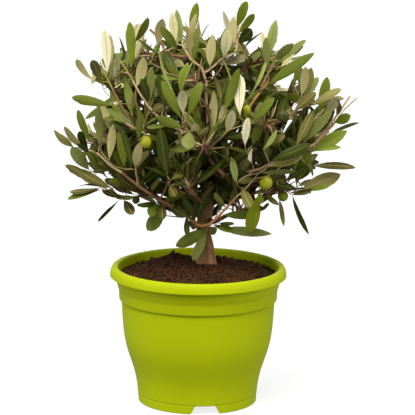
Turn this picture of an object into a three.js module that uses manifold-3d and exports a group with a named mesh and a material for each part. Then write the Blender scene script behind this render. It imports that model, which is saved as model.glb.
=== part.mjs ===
// A young olive tree with a ball-shaped crown, growing in a lime-green plastic pot.
// Millimetres, +Z up. The origin is the centre of the pot's foot, on the ground that the pot stands on.
// The front is -Y. Bearings are degrees round +Z, from +X (right) towards +Y (back).

import * as THREE from "three";
import { mergeVertices } from "three/addons/utils/BufferGeometryUtils.js";
import Module from "manifold-3d";

const wasm = await Module();
wasm.setup();

// Driving dimensions of the pot
const POT_HEIGHT = 150.6;
const WALL = 2.2;
const FOOT_RADIUS = 63.9;
const WALL_TAPER = 0.045; // growth of the radius for each mm of height
const BELLY_SWELL = 14.4; // how far the belly stands out past the foot's cone
const BELLY_HEIGHT = 47.5; // where the belly grows fastest
const BELLY_SOFTNESS = 12;
const BAND_BOTTOM = 112.6;
const BAND_TOP = 126;
const BAND_STEP = 2.5; // how far the band stands out past the body
const BAND_LEAN = 0.5; // how much wider the band is at its top
const NECK_RADIUS = 90; // the wall under the lip's overhang
const NECK_HEIGHT = 132.5;
const NECK_LEAN = 0.4;
const LIP_RADIUS = 90.8; // middle of the rounded lip
const LIP_HALF_WIDTH = 5.1;
const LIP_HALF_HEIGHT = 6.2;
const LIP_START = -60; // degrees round the lip's section, from its underside
const LIP_END = 180; // to the inner wall
const FLOOR_UNDERSIDE = 9.6;
const POT_SIDES = 32;

// Drain notches through the foot, and drain holes in the floor
const NOTCH_COUNT = 3;
const NOTCH_BEARING = -81.7;
const NOTCH_HEIGHT = 8.8;
const NOTCH_TOP_WIDTH = 21;
const NOTCH_FOOT_WIDTH = 31;
const HOLE_COUNT = 5;
const HOLE_RADIUS = 4;
const HOLE_CIRCLE = 38;

// Soil
const CLEARANCE = 0.3; // gap between pieces that rest on or in each other
const SOIL_EDGE = 140.5; // height of the soil at the pot's wall
const SOIL_TOP = 153; // height of the mound that carries the trunk
const MOUND_ROUNDNESS = 2.2;
const SOIL_UNEVENNESS = 0.8;
const HEAP_BEARING = 130; // a heap of soil stands behind the trunk, at this bearing
const HEAP_DISTANCE = 30;
const HEAP_HEIGHT = 5;
const HEAP_SPREAD = 18;

// Trunk: it leans a little to the right and ends at the fork
const TRUNK_FOOT = new THREE.Vector3(8, 5, SOIL_TOP + CLEARANCE);
const TRUNK_BEND = new THREE.Vector3(5.5, 5, 195);
const TRUNK_FORK = new THREE.Vector3(15, 3, 238);
const TRUNK_FOOT_RADIUS = 9.6;
const TRUNK_FORK_RADIUS = 5.6;
const ROOT_FLARE = 2.6; // extra radius at ground level
const FLARE_HEIGHT = 9;
const LEADER_TOP = new THREE.Vector3(8, 4, 352);
const LEADER_FOOT_RADIUS = 4.6;
const LEADER_TOP_RADIUS = 2.2;
const LEADER_BEND = new THREE.Vector3(3, -3, 0);
const BOUGH_FOOT_RADIUS = 3.6;
const BOUGH_SHARE = 0.72; // a bough's foot is at most this share of its parent's radius
const BOUGH_END_RADIUS = 1.9;
const BOUGH_SAG = 0.1; // how far a bough hangs under a straight line, as a share of its length
const LIMB_KNEE = 0.45; // where along a bough or the leader the bend is
const POCKET = 6; // how far a bough reaches into its mass

// Crown: each mass of foliage lies at a bearing from the crown's centre, at an elevation of rise degrees.
// out is the distance from the crown's centre to the mass's own, and reach is that to its furthest tip.
// The mass's bough leaves the trunk or the leader at a share of that limb's length.
const CROWN_CENTRE = new THREE.Vector3(3, 0, 306);
const MASS_DETAIL = 2;
const MASS_GAP = 0.5;
const TUFTS = 6; // shoots that stand out of each mass
const LARGEST_MASS = 46;
const TUFT_HEIGHT = 18; // on the largest mass
const TUFT_SHARPNESS = 14;
const TUFT_SPREAD = 2.2;
const SHORTEST_TUFT = 0.35; // as a share of the tallest
const FIRST_SEED = 977;
const PHASE_STEP = 2.4; // turns each mass's waves away from the last one's
const WAVE_HEIGHT = 0.07; // unevenness of a mass, as a share of its size
const INNER_HOLLOW = 0.28; // how much flatter a mass is towards the crown's centre
const MASSES = [
  { name: "top", bearing: -20, rise: 82, out: 90, reach: 137, size: 44, on: "leader", at: 0.97 },
  { name: "top_right", bearing: -10, rise: 50, out: 98, reach: 146, size: 43, on: "leader", at: 0.9 },
  { name: "top_left", bearing: 186, rise: 53, out: 96, reach: 139, size: 42, on: "leader", at: 0.78 },
  { name: "top_back", bearing: 88, rise: 45, out: 98, reach: 148, size: 46, on: "leader", at: 0.84 },
  { name: "top_front", bearing: -97, rise: 40, out: 94, reach: 146, size: 45, on: "leader", at: 0.7 },
  { name: "left_high", bearing: 180, rise: 21, out: 104, reach: 152, size: 42, on: "leader", at: 0.44 },
  { name: "right_high", bearing: 6, rise: 19, out: 107, reach: 155, size: 44, on: "leader", at: 0.56 },
  { name: "back_left_high", bearing: 138, rise: 16, out: 105, reach: 155, size: 46, on: "leader", at: 0.62 },
  { name: "back_right_high", bearing: 46, rise: 18, out: 105, reach: 155, size: 46, on: "leader", at: 0.36 },
  { name: "left", bearing: 176, rise: -11, out: 109, reach: 162, size: 43, on: "leader", at: 0.2 },
  { name: "front_left", bearing: 226, rise: 6, out: 103, reach: 154, size: 46, on: "leader", at: 0.28 },
  { name: "front", bearing: 271, rise: -2, out: 104, reach: 153, size: 45, on: "leader", at: 0.14 },
  { name: "front_right", bearing: -44, rise: 8, out: 104, reach: 156, size: 46, on: "leader", at: 0.3 },
  { name: "right", bearing: -7, rise: -10, out: 111, reach: 161, size: 44, on: "trunk", at: 0.92 },
  { name: "back_right", bearing: 38, rise: -17, out: 105, reach: 154, size: 45, on: "trunk", at: 0.9 },
  { name: "back", bearing: 88, rise: 2, out: 105, reach: 153, size: 46, on: "leader", at: 0.1 },
  { name: "back_left", bearing: 142, rise: -20, out: 105, reach: 154, size: 45, on: "trunk", at: 0.84 },
  { name: "left_low", bearing: 204, rise: -32, out: 106, reach: 152, size: 42, on: "trunk", at: 0.62 },
  { name: "front_low", bearing: 258, rise: -35, out: 99, reach: 146, size: 43, on: "trunk", at: 0.8 },
  { name: "right_low", bearing: -20, rise: -34, out: 108, reach: 158, size: 42, on: "trunk", at: 0.74 },
  { name: "back_low", bearing: 92, rise: -37, out: 98, reach: 143, size: 43, on: "trunk", at: 0.7 },
  { name: "skirt_right", bearing: -36, rise: -61, out: 104, reach: 134, size: 26, on: "trunk", at: 0.56 },
  { name: "skirt", bearing: 250, rise: -75, out: 111, reach: 138, size: 25, on: "trunk", at: 0.46 },
];

// Colours
const LEAF_GREEN = 0x55632f;
const BARK_BROWN = 0x8a6a55;
const SOIL_BROWN = 0x3a281d;
const POT_LIME = 0xa8b90b;
const material = (color, roughness) => new THREE.MeshStandardMaterial({ color, roughness, metalness: 0 });

// A repeatable stream of numbers from 0 to 1
function randomFrom(seed) {
  let state = seed >>> 0;
  return () => {
    state = (state + 0x6d2b79f5) >>> 0;
    let mixed = Math.imul(state ^ (state >>> 15), 1 | state);
    mixed = (mixed + Math.imul(mixed ^ (mixed >>> 7), 61 | mixed)) ^ mixed;
    return ((mixed ^ (mixed >>> 14)) >>> 0) / 4294967296;
  };
}

// A unit vector from a bearing and an elevation in degrees
function direction(bearing, elevation) {
  const turn = THREE.MathUtils.degToRad(bearing);
  const lift = THREE.MathUtils.degToRad(elevation);
  return new THREE.Vector3(Math.cos(lift) * Math.cos(turn), Math.cos(lift) * Math.sin(turn), Math.sin(lift));
}

// Turns a closed geometry into a solid that can be cut
function solidOf(geometry) {
  const bare = new THREE.BufferGeometry();
  bare.setAttribute("position", geometry.getAttribute("position").clone());
  if (geometry.index) {
    bare.setIndex(geometry.index.clone());
  }
  const merged = mergeVertices(bare, 1e-3);
  return new wasm.Manifold(
    new wasm.Mesh({
      numProp: 3,
      vertProperties: new Float32Array(merged.attributes.position.array),
      triVerts: new Uint32Array(merged.index.array),
    }),
  );
}

// Turns a solid back into a geometry, keeping only its largest body
function geometryOf(solid) {
  const largest = solid.decompose().reduce((best, piece) => (piece.volume() > best.volume() ? piece : best));
  const mesh = largest.getMesh();
  const geometry = new THREE.BufferGeometry();
  geometry.setAttribute("position", new THREE.BufferAttribute(new Float32Array(mesh.vertProperties), 3));
  geometry.setIndex(new THREE.BufferAttribute(new Uint32Array(mesh.triVerts), 1));
  geometry.computeVertexNormals();
  return geometry;
}

// Radius of the pot's outer wall below the band
function bodyRadius(height) {
  const swell = BELLY_SWELL / (1 + Math.exp((BELLY_HEIGHT - height) / BELLY_SOFTNESS));
  return FOOT_RADIUS + WALL_TAPER * height + swell;
}

const LIP_HEIGHT = POT_HEIGHT - LIP_HALF_HEIGHT; // middle of the lip
const BAND_RADIUS = bodyRadius(BAND_BOTTOM) + BAND_STEP;

// The outside of the wall from the foot to the underside of the lip
function outerWall() {
  const points = [];
  const steps = 7;
  for (let i = 0; i <= steps; i++) {
    const height = (BAND_BOTTOM * i) / steps;
    points.push(new THREE.Vector2(bodyRadius(height), height));
  }
  points.push(new THREE.Vector2(BAND_RADIUS, BAND_BOTTOM + BAND_STEP / 2));
  points.push(new THREE.Vector2(BAND_RADIUS + BAND_LEAN, BAND_TOP));
  points.push(new THREE.Vector2(NECK_RADIUS, NECK_HEIGHT));
  points.push(new THREE.Vector2(NECK_RADIUS + NECK_LEAN, LIP_HEIGHT - LIP_HALF_HEIGHT));
  return points;
}

// The rounded lip, from its underside over the crest to the inner wall
function lip() {
  const points = [];
  const steps = 6;
  for (let i = 0; i <= steps; i++) {
    const angle = THREE.MathUtils.degToRad(LIP_START + ((LIP_END - LIP_START) * i) / steps);
    points.push(
      new THREE.Vector2(
        LIP_RADIUS + LIP_HALF_WIDTH * Math.cos(angle),
        LIP_HEIGHT + LIP_HALF_HEIGHT * Math.sin(angle),
      ),
    );
  }
  return points;
}

// The inside of the wall from below the lip to a given height, a clearance inside it
function innerWall(lowest, clearance) {
  const points = [new THREE.Vector2(BAND_RADIUS + BAND_LEAN - WALL - clearance, BAND_TOP)];
  points.push(new THREE.Vector2(BAND_RADIUS - WALL - clearance, BAND_BOTTOM + BAND_STEP));
  const steps = 5;
  for (let i = 0; i <= steps; i++) {
    const height = BAND_BOTTOM + ((lowest - BAND_BOTTOM) * i) / steps;
    points.push(new THREE.Vector2(bodyRadius(height) - WALL - clearance, height));
  }
  return points;
}

// A tapered trapezoid block that cuts one drain notch out of the foot
function notchCutter(bearing) {
  const outline = new THREE.Shape();
  const below = 1;
  const slope = (NOTCH_FOOT_WIDTH - NOTCH_TOP_WIDTH) / 2 / NOTCH_HEIGHT;
  const halfFoot = NOTCH_FOOT_WIDTH / 2 + slope * below;
  outline.moveTo(-halfFoot, -below);
  outline.lineTo(halfFoot, -below);
  outline.lineTo(NOTCH_TOP_WIDTH / 2, NOTCH_HEIGHT);
  outline.lineTo(-NOTCH_TOP_WIDTH / 2, NOTCH_HEIGHT);
  const depth = FOOT_RADIUS * 0.5;
  const block = new THREE.ExtrudeGeometry(outline, { depth, bevelEnabled: false });
  block.rotateX(Math.PI / 2);
  block.rotateZ(THREE.MathUtils.degToRad(bearing + 90));
  const inside = direction(bearing, 0).multiplyScalar(FOOT_RADIUS - depth / 2);
  block.translate(inside.x, inside.y, 0);
  return solidOf(block);
}

function makePot() {
  const floorTop = FLOOR_UNDERSIDE + WALL;
  const profile = [
    ...outerWall(),
    ...lip(),
    ...innerWall(floorTop, 0),
    new THREE.Vector2(0, floorTop),
    new THREE.Vector2(0, FLOOR_UNDERSIDE),
    new THREE.Vector2(bodyRadius(FLOOR_UNDERSIDE) - WALL, FLOOR_UNDERSIDE),
    new THREE.Vector2(bodyRadius(0) - WALL, 0),
  ];
  profile.push(profile[0].clone());
  const shell = new THREE.LatheGeometry(profile, POT_SIDES);
  shell.rotateX(Math.PI / 2);
  let pot = solidOf(shell);
  for (let i = 0; i < NOTCH_COUNT; i++) {
    pot = pot.subtract(notchCutter(NOTCH_BEARING + (360 * i) / NOTCH_COUNT));
  }
  for (let i = 0; i < HOLE_COUNT; i++) {
    const centre = direction((360 * i) / HOLE_COUNT, 0).multiplyScalar(HOLE_CIRCLE);
    const drill = new THREE.CylinderGeometry(HOLE_RADIUS, HOLE_RADIUS, 3 * WALL, 8);
    drill.rotateX(Math.PI / 2);
    drill.translate(centre.x, centre.y, FLOOR_UNDERSIDE + WALL / 2);
    pot = pot.subtract(solidOf(drill));
  }
  return new THREE.Mesh(geometryOf(pot), material(POT_LIME, 0.45));
}

// Height of the soil's surface: a mound that falls to the wall, a heap behind the trunk, and crumbs
function soilHeight(x, y, edge) {
  const out = Math.min(1, Math.hypot(x, y) / edge);
  const mound = (SOIL_TOP - SOIL_EDGE) * (1 - out ** MOUND_ROUNDNESS);
  const heap = direction(HEAP_BEARING, 0).multiplyScalar(HEAP_DISTANCE);
  const fromHeap = Math.hypot(x - heap.x, y - heap.y) / HEAP_SPREAD;
  const crumbs = Math.sin(x * 0.31 + 1) * Math.cos(y * 0.27) + Math.sin(x * 0.13 - y * 0.19);
  const fade = Math.min(1, 4 * (1 - out));
  return SOIL_EDGE + mound + fade * (HEAP_HEIGHT * Math.exp(-fromHeap * fromHeap) + SOIL_UNEVENNESS * crumbs);
}

function makeSoil() {
  const floor = FLOOR_UNDERSIDE + WALL + CLEARANCE;
  const edge = BAND_RADIUS + BAND_LEAN - WALL - CLEARANCE;
  const profile = [new THREE.Vector2(0, floor), ...innerWall(floor, CLEARANCE).reverse()];
  const rings = 4;
  for (let i = 0; i <= rings; i++) {
    profile.push(new THREE.Vector2(edge * (1 - i / rings), SOIL_EDGE));
  }
  const lathe = new THREE.LatheGeometry(profile, POT_SIDES);
  lathe.rotateX(Math.PI / 2);
  const position = lathe.getAttribute("position");
  for (let i = 0; i < position.count; i++) {
    if (Math.abs(position.getZ(i) - SOIL_EDGE) < 0.01) {
      position.setZ(i, soilHeight(position.getX(i), position.getY(i), edge));
    }
  }
  const seatRadius = TRUNK_FOOT_RADIUS + ROOT_FLARE + 2;
  const seatDepth = 20;
  const seat = new THREE.CylinderGeometry(seatRadius, seatRadius, seatDepth, 20);
  seat.rotateX(Math.PI / 2);
  seat.translate(TRUNK_FOOT.x, TRUNK_FOOT.y, SOIL_TOP + seatDepth / 2);
  const soil = solidOf(lathe).subtract(solidOf(seat));
  return new THREE.Mesh(geometryOf(soil), material(SOIL_BROWN, 0.95));
}

// A round limb that follows a curve: a cylinder bent ring by ring, with a radius for each share of its length
function limbSolid(curve, radiusAt, sides, steps, grown = 0) {
  const tube = new THREE.CylinderGeometry(1, 1, 1, sides, steps);
  const position = tube.getAttribute("position");
  const frames = curve.computeFrenetFrames(steps);
  for (let i = 0; i < position.count; i++) {
    const share = position.getY(i) + 0.5;
    const ring = Math.round(share * steps);
    const centre = curve.getPointAt(ring / steps);
    const radius = radiusAt(ring / steps) + grown;
    centre.addScaledVector(frames.normals[ring], position.getX(i) * radius);
    centre.addScaledVector(frames.binormals[ring], -position.getZ(i) * radius);
    if (ring === 0) {
      centre.addScaledVector(frames.tangents[0], -grown);
    }
    if (ring === steps) {
      centre.addScaledVector(frames.tangents[steps], grown);
    }
    position.setXYZ(i, centre.x, centre.y, centre.z);
  }
  const solid = solidOf(tube);
  return solid.volume() > 0 ? solid : solidOf(flipped(tube));
}

// The same geometry with every face turned round
function flipped(geometry) {
  const turned = geometry.clone();
  const index = turned.index.array;
  for (let i = 0; i < index.length; i += 3) {
    [index[i + 1], index[i + 2]] = [index[i + 2], index[i + 1]];
  }
  return turned;
}

function trunkCurve() {
  const rise = new THREE.Vector3(0, 0, 1.5 * FLARE_HEIGHT);
  return new THREE.CatmullRomCurve3([TRUNK_FOOT, TRUNK_FOOT.clone().add(rise), TRUNK_BEND, TRUNK_FORK]);
}

function trunkRadius(share) {
  const height = share * (TRUNK_FORK.z - TRUNK_FOOT.z);
  const flare = ROOT_FLARE * Math.exp(-height / FLARE_HEIGHT);
  return TRUNK_FOOT_RADIUS + (TRUNK_FORK_RADIUS - TRUNK_FOOT_RADIUS) * share + flare;
}

function leaderCurve() {
  const middle = TRUNK_FORK.clone().lerp(LEADER_TOP, LIMB_KNEE).add(LEADER_BEND);
  return new THREE.QuadraticBezierCurve3(TRUNK_FORK, middle, LEADER_TOP);
}

function leaderRadius(share) {
  return LEADER_FOOT_RADIUS + (LEADER_TOP_RADIUS - LEADER_FOOT_RADIUS) * share;
}

// Where each mass has its own middle, and the tips of its tufts as directions from there
function layOutMasses() {
  return MASSES.map((mass, number) => {
    const outwards = direction(mass.bearing, mass.rise);
    const centre = CROWN_CENTRE.clone().addScaledVector(outwards, mass.out);
    const random = randomFrom(FIRST_SEED + number);
    const tufts = [{ way: outwards.clone(), height: mass.reach - mass.out - mass.size }];
    for (let i = 0; i < TUFTS; i++) {
      const sideways = new THREE.Vector3(random() - 0.5, random() - 0.5, random() - 0.35);
      const way = outwards.clone().addScaledVector(sideways, TUFT_SPREAD).normalize();
      const share = SHORTEST_TUFT + (1 - SHORTEST_TUFT) * random();
      tufts.push({ way, height: TUFT_HEIGHT * share * (mass.size / LARGEST_MASS) });
    }
    return { ...mass, outwards, centre, tufts, phase: number * PHASE_STEP };
  });
}

// Distance from a mass's middle to its surface: an uneven ball with tufts, which stays within its reach
// from the crown's centre and is cut off on the way to each neighbour
function massRadius(mass, way, all) {
  const inwards = Math.max(0, -way.dot(mass.outwards));
  const across = Math.sin(3.1 * way.x + mass.phase) * Math.cos(2.7 * way.y - mass.phase);
  const waves = across + Math.sin(4.3 * way.z + 2 * mass.phase);
  let radius = mass.size * (1 + WAVE_HEIGHT * waves - INNER_HOLLOW * inwards);
  for (const tuft of mass.tufts) {
    radius += tuft.height * Math.max(0, way.dot(tuft.way)) ** TUFT_SHARPNESS;
  }
  const along = mass.out * way.dot(mass.outwards);
  radius = Math.min(radius, Math.sqrt(along ** 2 + mass.reach ** 2 - mass.out ** 2) - along);
  for (const other of all) {
    if (other.name === mass.name) {
      continue;
    }
    const apart = other.centre.clone().sub(mass.centre);
    const distance = apart.length();
    const share = mass.size / (mass.size + other.size);
    const facing = way.dot(apart) / distance;
    if (facing > 1e-3) {
      radius = Math.min(radius, (distance * share - MASS_GAP / 2) / facing);
    }
  }
  return radius;
}

function massSolid(mass, all) {
  const ball = new THREE.IcosahedronGeometry(1, MASS_DETAIL);
  const position = ball.getAttribute("position");
  for (let i = 0; i < position.count; i++) {
    const way = new THREE.Vector3().fromBufferAttribute(position, i).normalize();
    const point = mass.centre.clone().addScaledVector(way, massRadius(mass, way, all));
    position.setXYZ(i, point.x, point.y, point.z);
  }
  return solidOf(ball);
}

// A bough curves up from its parent limb and ends a pocket's depth inside its mass
function boughCurve(mass, all, parent) {
  const start = parent.getPointAt(mass.at);
  const towards = mass.centre.clone().sub(start);
  const way = towards.clone().normalize();
  const entry = massRadius(mass, way.clone().negate(), all) - POCKET;
  const end = mass.centre.clone().addScaledVector(way, -entry);
  const sag = new THREE.Vector3(0, 0, -BOUGH_SAG * start.distanceTo(end));
  const knee = start.clone().lerp(end, LIMB_KNEE).add(sag);
  return new THREE.QuadraticBezierCurve3(start, knee, end);
}

// A limb as a mesh, cut clear of the limbs made before it, and added to them for those that follow
function makeLimb(limb, cutters) {
  let solid = limbSolid(limb.curve, limb.radiusAt, limb.sides, limb.steps);
  for (const cutter of cutters) {
    solid = solid.subtract(cutter);
  }
  cutters.push(limbSolid(limb.curve, limb.radiusAt, limb.sides, limb.steps, CLEARANCE));
  return new THREE.Mesh(geometryOf(solid), material(BARK_BROWN, 0.85));
}

// The bough of one mass, tapering from its foot on the parent limb
function boughOf(mass, masses, parent) {
  const foot = Math.min(BOUGH_FOOT_RADIUS, BOUGH_SHARE * parent.radiusAt(mass.at));
  return {
    curve: boughCurve(mass, masses, parent.curve),
    radiusAt: (share) => foot + (BOUGH_END_RADIUS - foot) * share,
    sides: 5,
    steps: 3,
  };
}

function buildTree() {
  const tree = new THREE.Group();
  const add = (name, mesh) => {
    mesh.name = name;
    tree.add(mesh);
  };
  add("pot", makePot());
  add("soil", makeSoil());

  const limbs = {
    trunk: { curve: trunkCurve(), radiusAt: trunkRadius, sides: 14, steps: 8 },
    leader: { curve: leaderCurve(), radiusAt: leaderRadius, sides: 8, steps: 6 },
  };
  const cutters = [];
  for (const name of Object.keys(limbs)) {
    add(name, makeLimb(limbs[name], cutters));
  }
  const masses = layOutMasses();
  for (const mass of masses) {
    add("bough_" + mass.name, makeLimb(boughOf(mass, masses, limbs[mass.on]), cutters));
  }
  for (const mass of masses) {
    let foliage = massSolid(mass, masses);
    for (const cutter of cutters) {
      foliage = foliage.subtract(cutter);
    }
    add("foliage_" + mass.name, new THREE.Mesh(geometryOf(foliage), material(LEAF_GREEN, 0.6)));
  }
  return tree;
}

export default buildTree();
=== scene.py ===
"""A young olive tree with a ball-shaped crown, growing in a lime-green plastic pot.

Lengths are millimetres while a piece is shaped, and make_piece or Blank.joined turns them into metres. +Z is
up, and -Y is the front, the side that the photograph shows. Places read off the photograph are pixels of its
415 x 415 frame, and seen() puts them in space. The plant is wood first (trunk, leader, boughs, twigs), then
leaves that stand on the wood, then olives.
"""

import math
from collections import namedtuple

import bmesh
import bpy
import numpy as np
from mathutils import Matrix, Vector, noise


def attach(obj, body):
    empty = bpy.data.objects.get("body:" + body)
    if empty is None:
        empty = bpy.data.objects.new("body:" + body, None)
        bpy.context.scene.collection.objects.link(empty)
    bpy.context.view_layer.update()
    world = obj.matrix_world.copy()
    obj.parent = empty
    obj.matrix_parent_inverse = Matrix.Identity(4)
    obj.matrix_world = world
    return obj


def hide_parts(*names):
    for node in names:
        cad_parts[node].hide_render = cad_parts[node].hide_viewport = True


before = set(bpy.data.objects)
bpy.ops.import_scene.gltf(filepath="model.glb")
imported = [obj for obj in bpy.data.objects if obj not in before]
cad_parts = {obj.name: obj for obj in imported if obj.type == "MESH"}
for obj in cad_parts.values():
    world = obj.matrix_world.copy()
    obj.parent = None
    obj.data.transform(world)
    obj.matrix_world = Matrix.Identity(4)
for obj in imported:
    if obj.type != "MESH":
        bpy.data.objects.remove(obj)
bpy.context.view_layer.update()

MM = 0.001
BODY = "root"

# The photograph's camera
CAMERA_PLACE = np.array([0.0, -3000.0, 826.0])
CAMERA_AIM = np.array([0.0, 0.0, 200.0])
FOCAL_PIXELS = 2821.5
OPTICAL_CENTRE = (198.75, 220.96)
CAMERA_ROLL = 0.5
PIXEL_SIZE = 1.084  # millimetres to a pixel at the trunk
FRAME_PIXELS = 415
SENSOR_WIDTH = 36

# Pot
POT_HEIGHT = 150.6
WALL = 2.2
FOOT_RADIUS = 64.2
WALL_TAPER = 0.045
BELLY_SWELL = 14.4
BELLY_HEIGHT = 47.5
BELLY_SOFTNESS = 12
BAND_BOTTOM = 113.4
BAND_TOP = 124.5
BAND_STEP = 2.5
BAND_LEAN = 0.5
BAND_LEDGE = 1.3
NECK_RADIUS = 88.6
NECK_HEIGHT = 132
LIP_EDGE = (96.2, 140.0)
LIP_SHOULDER = (95.5, 145.6)
LIP_CREST = (91.3, 150.6)
LIP_INNER_RADIUS = 87.2
LIP_UNDERCUT = 2.6
SEAM_DEPTH = 0.45
SEAM_HEIGHT = 0.6
FOOT_LINE = 9.2
FLOOR_UNDERSIDE = 9.6
NOTCH_COUNT = 3
NOTCH_BEARING = -82.1
NOTCH_HEIGHT = 9.3
NOTCH_TOP_WIDTH = 21.9
NOTCH_FOOT_WIDTH = 31.8
HOLE_COUNT = 5
HOLE_RADIUS = 4
HOLE_CIRCLE = 38
POT_COLUMNS = 360
FLOOR_COLUMNS = 90

# Soil
SOIL_EDGE = 140
SOIL_TOP = 153
MOUND_ROUNDNESS = 2.2
HEAP_PLACE = (-28, 30)
HEAP_HEIGHT = 6.5
HEAP_SPREAD = 16
CRUMB_COUNT = 520
SOIL_COLUMNS = 300
SOIL_ROWS = 84

# Wood
TRUNK_POINTS = [(8, 5, 150.5), (8, 5, 166.8), (5.5, 5, 195), (15, 3, 238)]
TRUNK_FOOT_RADIUS = 9.6
TRUNK_MIDDLE_RADIUS = 8
TRUNK_FORK_RADIUS = 5.6
ROOT_FLARE = 2.6
FLARE_HEIGHT = 9
LEADER_POINTS = [(15, 3, 236), (14.2, 2.1, 262), (12.4, 1.6, 295), (8, 4, 352)]
LEADER_RADII = (4.9, 2.2)
BOUGH_RADII = (3.3, 1.9)
TRUNK_RINGS, TRUNK_SIDES = 110, 72
LEADER_RINGS, LEADER_SIDES = 80, 28
BOUGH_RINGS, BOUGH_SIDES = 34, 16
BARE_BOUGH_RINGS = 8
TWIG_RINGS, TWIG_SIDES = 9, 6
CURVE_STEPS = 12

# A bough's path comes from the corners of its solid: those that lie this close to its far end and to its
# cut, in millimetres, and so many of them halfway
END_ZONE = 3.2
CUT_ZONE = 4.5
BEND_CORNERS = 10

# Crown: each mass lies at a bearing and a rise from the crown's centre. out is the distance to its middle,
# reach is that to its furthest tip, and size is about the mass's own radius.
CROWN_CENTRE = np.array([3.0, 0.0, 306.0])
Mass = namedtuple("Mass", "bearing rise out reach size")
MASSES = {
    "top": Mass(-20, 82, 90, 137, 44),
    "top_right": Mass(-10, 50, 98, 146, 43),
    "top_left": Mass(186, 53, 96, 139, 42),
    "top_back": Mass(88, 45, 98, 148, 46),
    "top_front": Mass(-97, 40, 94, 146, 45),
    "left_high": Mass(180, 21, 104, 152, 42),
    "right_high": Mass(6, 19, 107, 155, 44),
    "back_left_high": Mass(138, 16, 105, 155, 46),
    "back_right_high": Mass(46, 18, 105, 155, 46),
    "left": Mass(176, -11, 109, 162, 43),
    "front_left": Mass(226, 6, 103, 154, 46),
    "front": Mass(271, -2, 104, 153, 45),
    "front_right": Mass(-44, 8, 104, 156, 46),
    "right": Mass(-7, -10, 111, 161, 44),
    "back_right": Mass(38, -17, 105, 154, 45),
    "back": Mass(88, 2, 105, 153, 46),
    "back_left": Mass(142, -20, 105, 154, 45),
    "left_low": Mass(204, -32, 106, 152, 42),
    "front_low": Mass(258, -35, 99, 146, 43),
    "right_low": Mass(-20, -34, 108, 158, 42),
    "back_low": Mass(92, -37, 98, 143, 43),
    "skirt_right": Mass(-36, -61, 104, 134, 26),
    "skirt": Mass(250, -75, 111, 138, 25),
}

# Leaf: shares of its length at which it is shaped, and its half-widths there for a pointed and a blunt leaf
LEAF_SHARES = np.array([0, 0.08, 0.19, 0.33, 0.49, 0.65, 0.81, 0.93, 1.0])
POINTED_WIDTHS = np.array([0.09, 0.11, 0.46, 0.80, 0.98, 0.97, 0.72, 0.34, 0.0])
BLUNT_WIDTHS = np.array([0.09, 0.11, 0.38, 0.70, 0.92, 1.0, 0.90, 0.58, 0.0])
LEAF_COLUMNS = np.array([-1, -0.55, -0.06, 0.06, 0.55, 1])
LEAF_THICKNESS = 0.45
LEAF_LENGTH = 43
LEAF_WIDTH = 9.5
SHORTEST_LEAF = 33

# Shoots that fill the crown
SHOOTS_ON_LARGE_MASS = 16
LARGE_MASS = 45  # size of a mass with that many
SPINE_STEPS = 20  # points of the shoot through a mass's middle, and how many of them others start from
LAST_SPINE_START = 15
INNER_SHOOTS = 185
INNER_REACH = 100  # from the crown's centre, where inner shoots start
LOWEST_INNER_SHOOT = 205
REAR_START = 12  # how far behind the pot's middle every fourth inner shoot starts, or further
INNER_LENGTHS = (28, 58)
SPINE_RADII = (1.8, 0.8)
SHOOT_RADII = (1.15, 0.55)
INNER_RADII = (1.0, 0.55)

# Leaves on a shoot
SHOOT_STEPS = 60  # points that leaves can stand on
PAIR_SPACING = 11
LEAF_SPREAD = 58  # degrees from the shoot at its foot, how much less at its tip, and how far it varies
SPREAD_FALL = 34
SPREAD_VARIES = 7
FLATTER = np.array([1, -0.3, 1])  # turns a leaf aside that has no room in front

# Room for leaves, in millimetres
FRONT_DEPTH = 108  # of the front leaves' feet before the trunk, in the crown's middle
LEAST_DEPTH = 27  # of those near the outline
LAYER_STEP = 26  # from a layer of shown leaves back to the next
BEHIND_FRONT = 9  # from the front leaves' feet back to the filling leaves
LOWEST_LEAF = 176  # height of the lowest filling leaf
REACH_MARGIN = 2  # past the reach of a leaf's mass

# Room for leaves, in the photograph's pixels
CROWN_PIXEL = (201, 125)
OUTER_LEAF = 22  # from the outline in to where the front's depth is down to LEAST_DEPTH
SKY_MARGIN = 1.4  # round the gaps
TWIG_CLEARANCE = 4  # beside the twigs that show
LOWEST_BEHIND = 195  # lowest tip of a shown leaf that gets others behind it
NARROWEST_BEHIND = 6  # least width of such a leaf
EDGE_BLUR = 0.7  # by which a shown leaf looks shorter and narrower

# Room for leaves, in shares
OUTER_SHARE = 0.89  # of the outline's reach, for filling leaves
LEAF_CHECKS = (0.35, 0.6, 0.8, 1)  # of a leaf's length, where its room is checked
BEHIND_SHARE = 0.85  # of a shown leaf's length, for the leaves behind it
BEHIND_DEPTHS = (-1.1, 0.4)  # of the front's depth, for the same leaves
PULL_SHARE = 0.93  # of its distance, kept by a shoot's end at each of up to PULL_STEPS pulls
PULL_STEPS = 8

UPPER_TONES = ["deep", "mid", "bright", "grey", "pale", "lime"]
UNDER_OF = {
    "deep": "olive", "mid": "khaki", "bright": "beige", "grey": "beige", "pale": "silver", "lime": "mid",
}
UPPER_OF = {
    "cream": "bright", "silver": "mid", "beige": "mid", "khaki": "mid", "olive": "deep", "umber": "deep",
}

# Painted light and shade: leaves are paler with height over SHADE_FLOOR and distance from the crown's centre
SHADE_FLOOR = 200
SHADE_RISE = 240
SHADE_REACH = 150

# Of the leaves that fill the crown: the undersides from dark to pale, and the upper sides past the dark ones
# The dark end of these tones is painted shade and the pale end painted light.
UNDER_SHARES = [
    ("umber", 0.14), ("olive", 0.36), ("khaki", 0.54), ("beige", 0.71), ("silver", 0.86), ("cream", 9),
]
UPPER_SHARES = [("deep", 0), ("mid", 0.34), ("grey", 0.46), ("bright", 9)]

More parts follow.
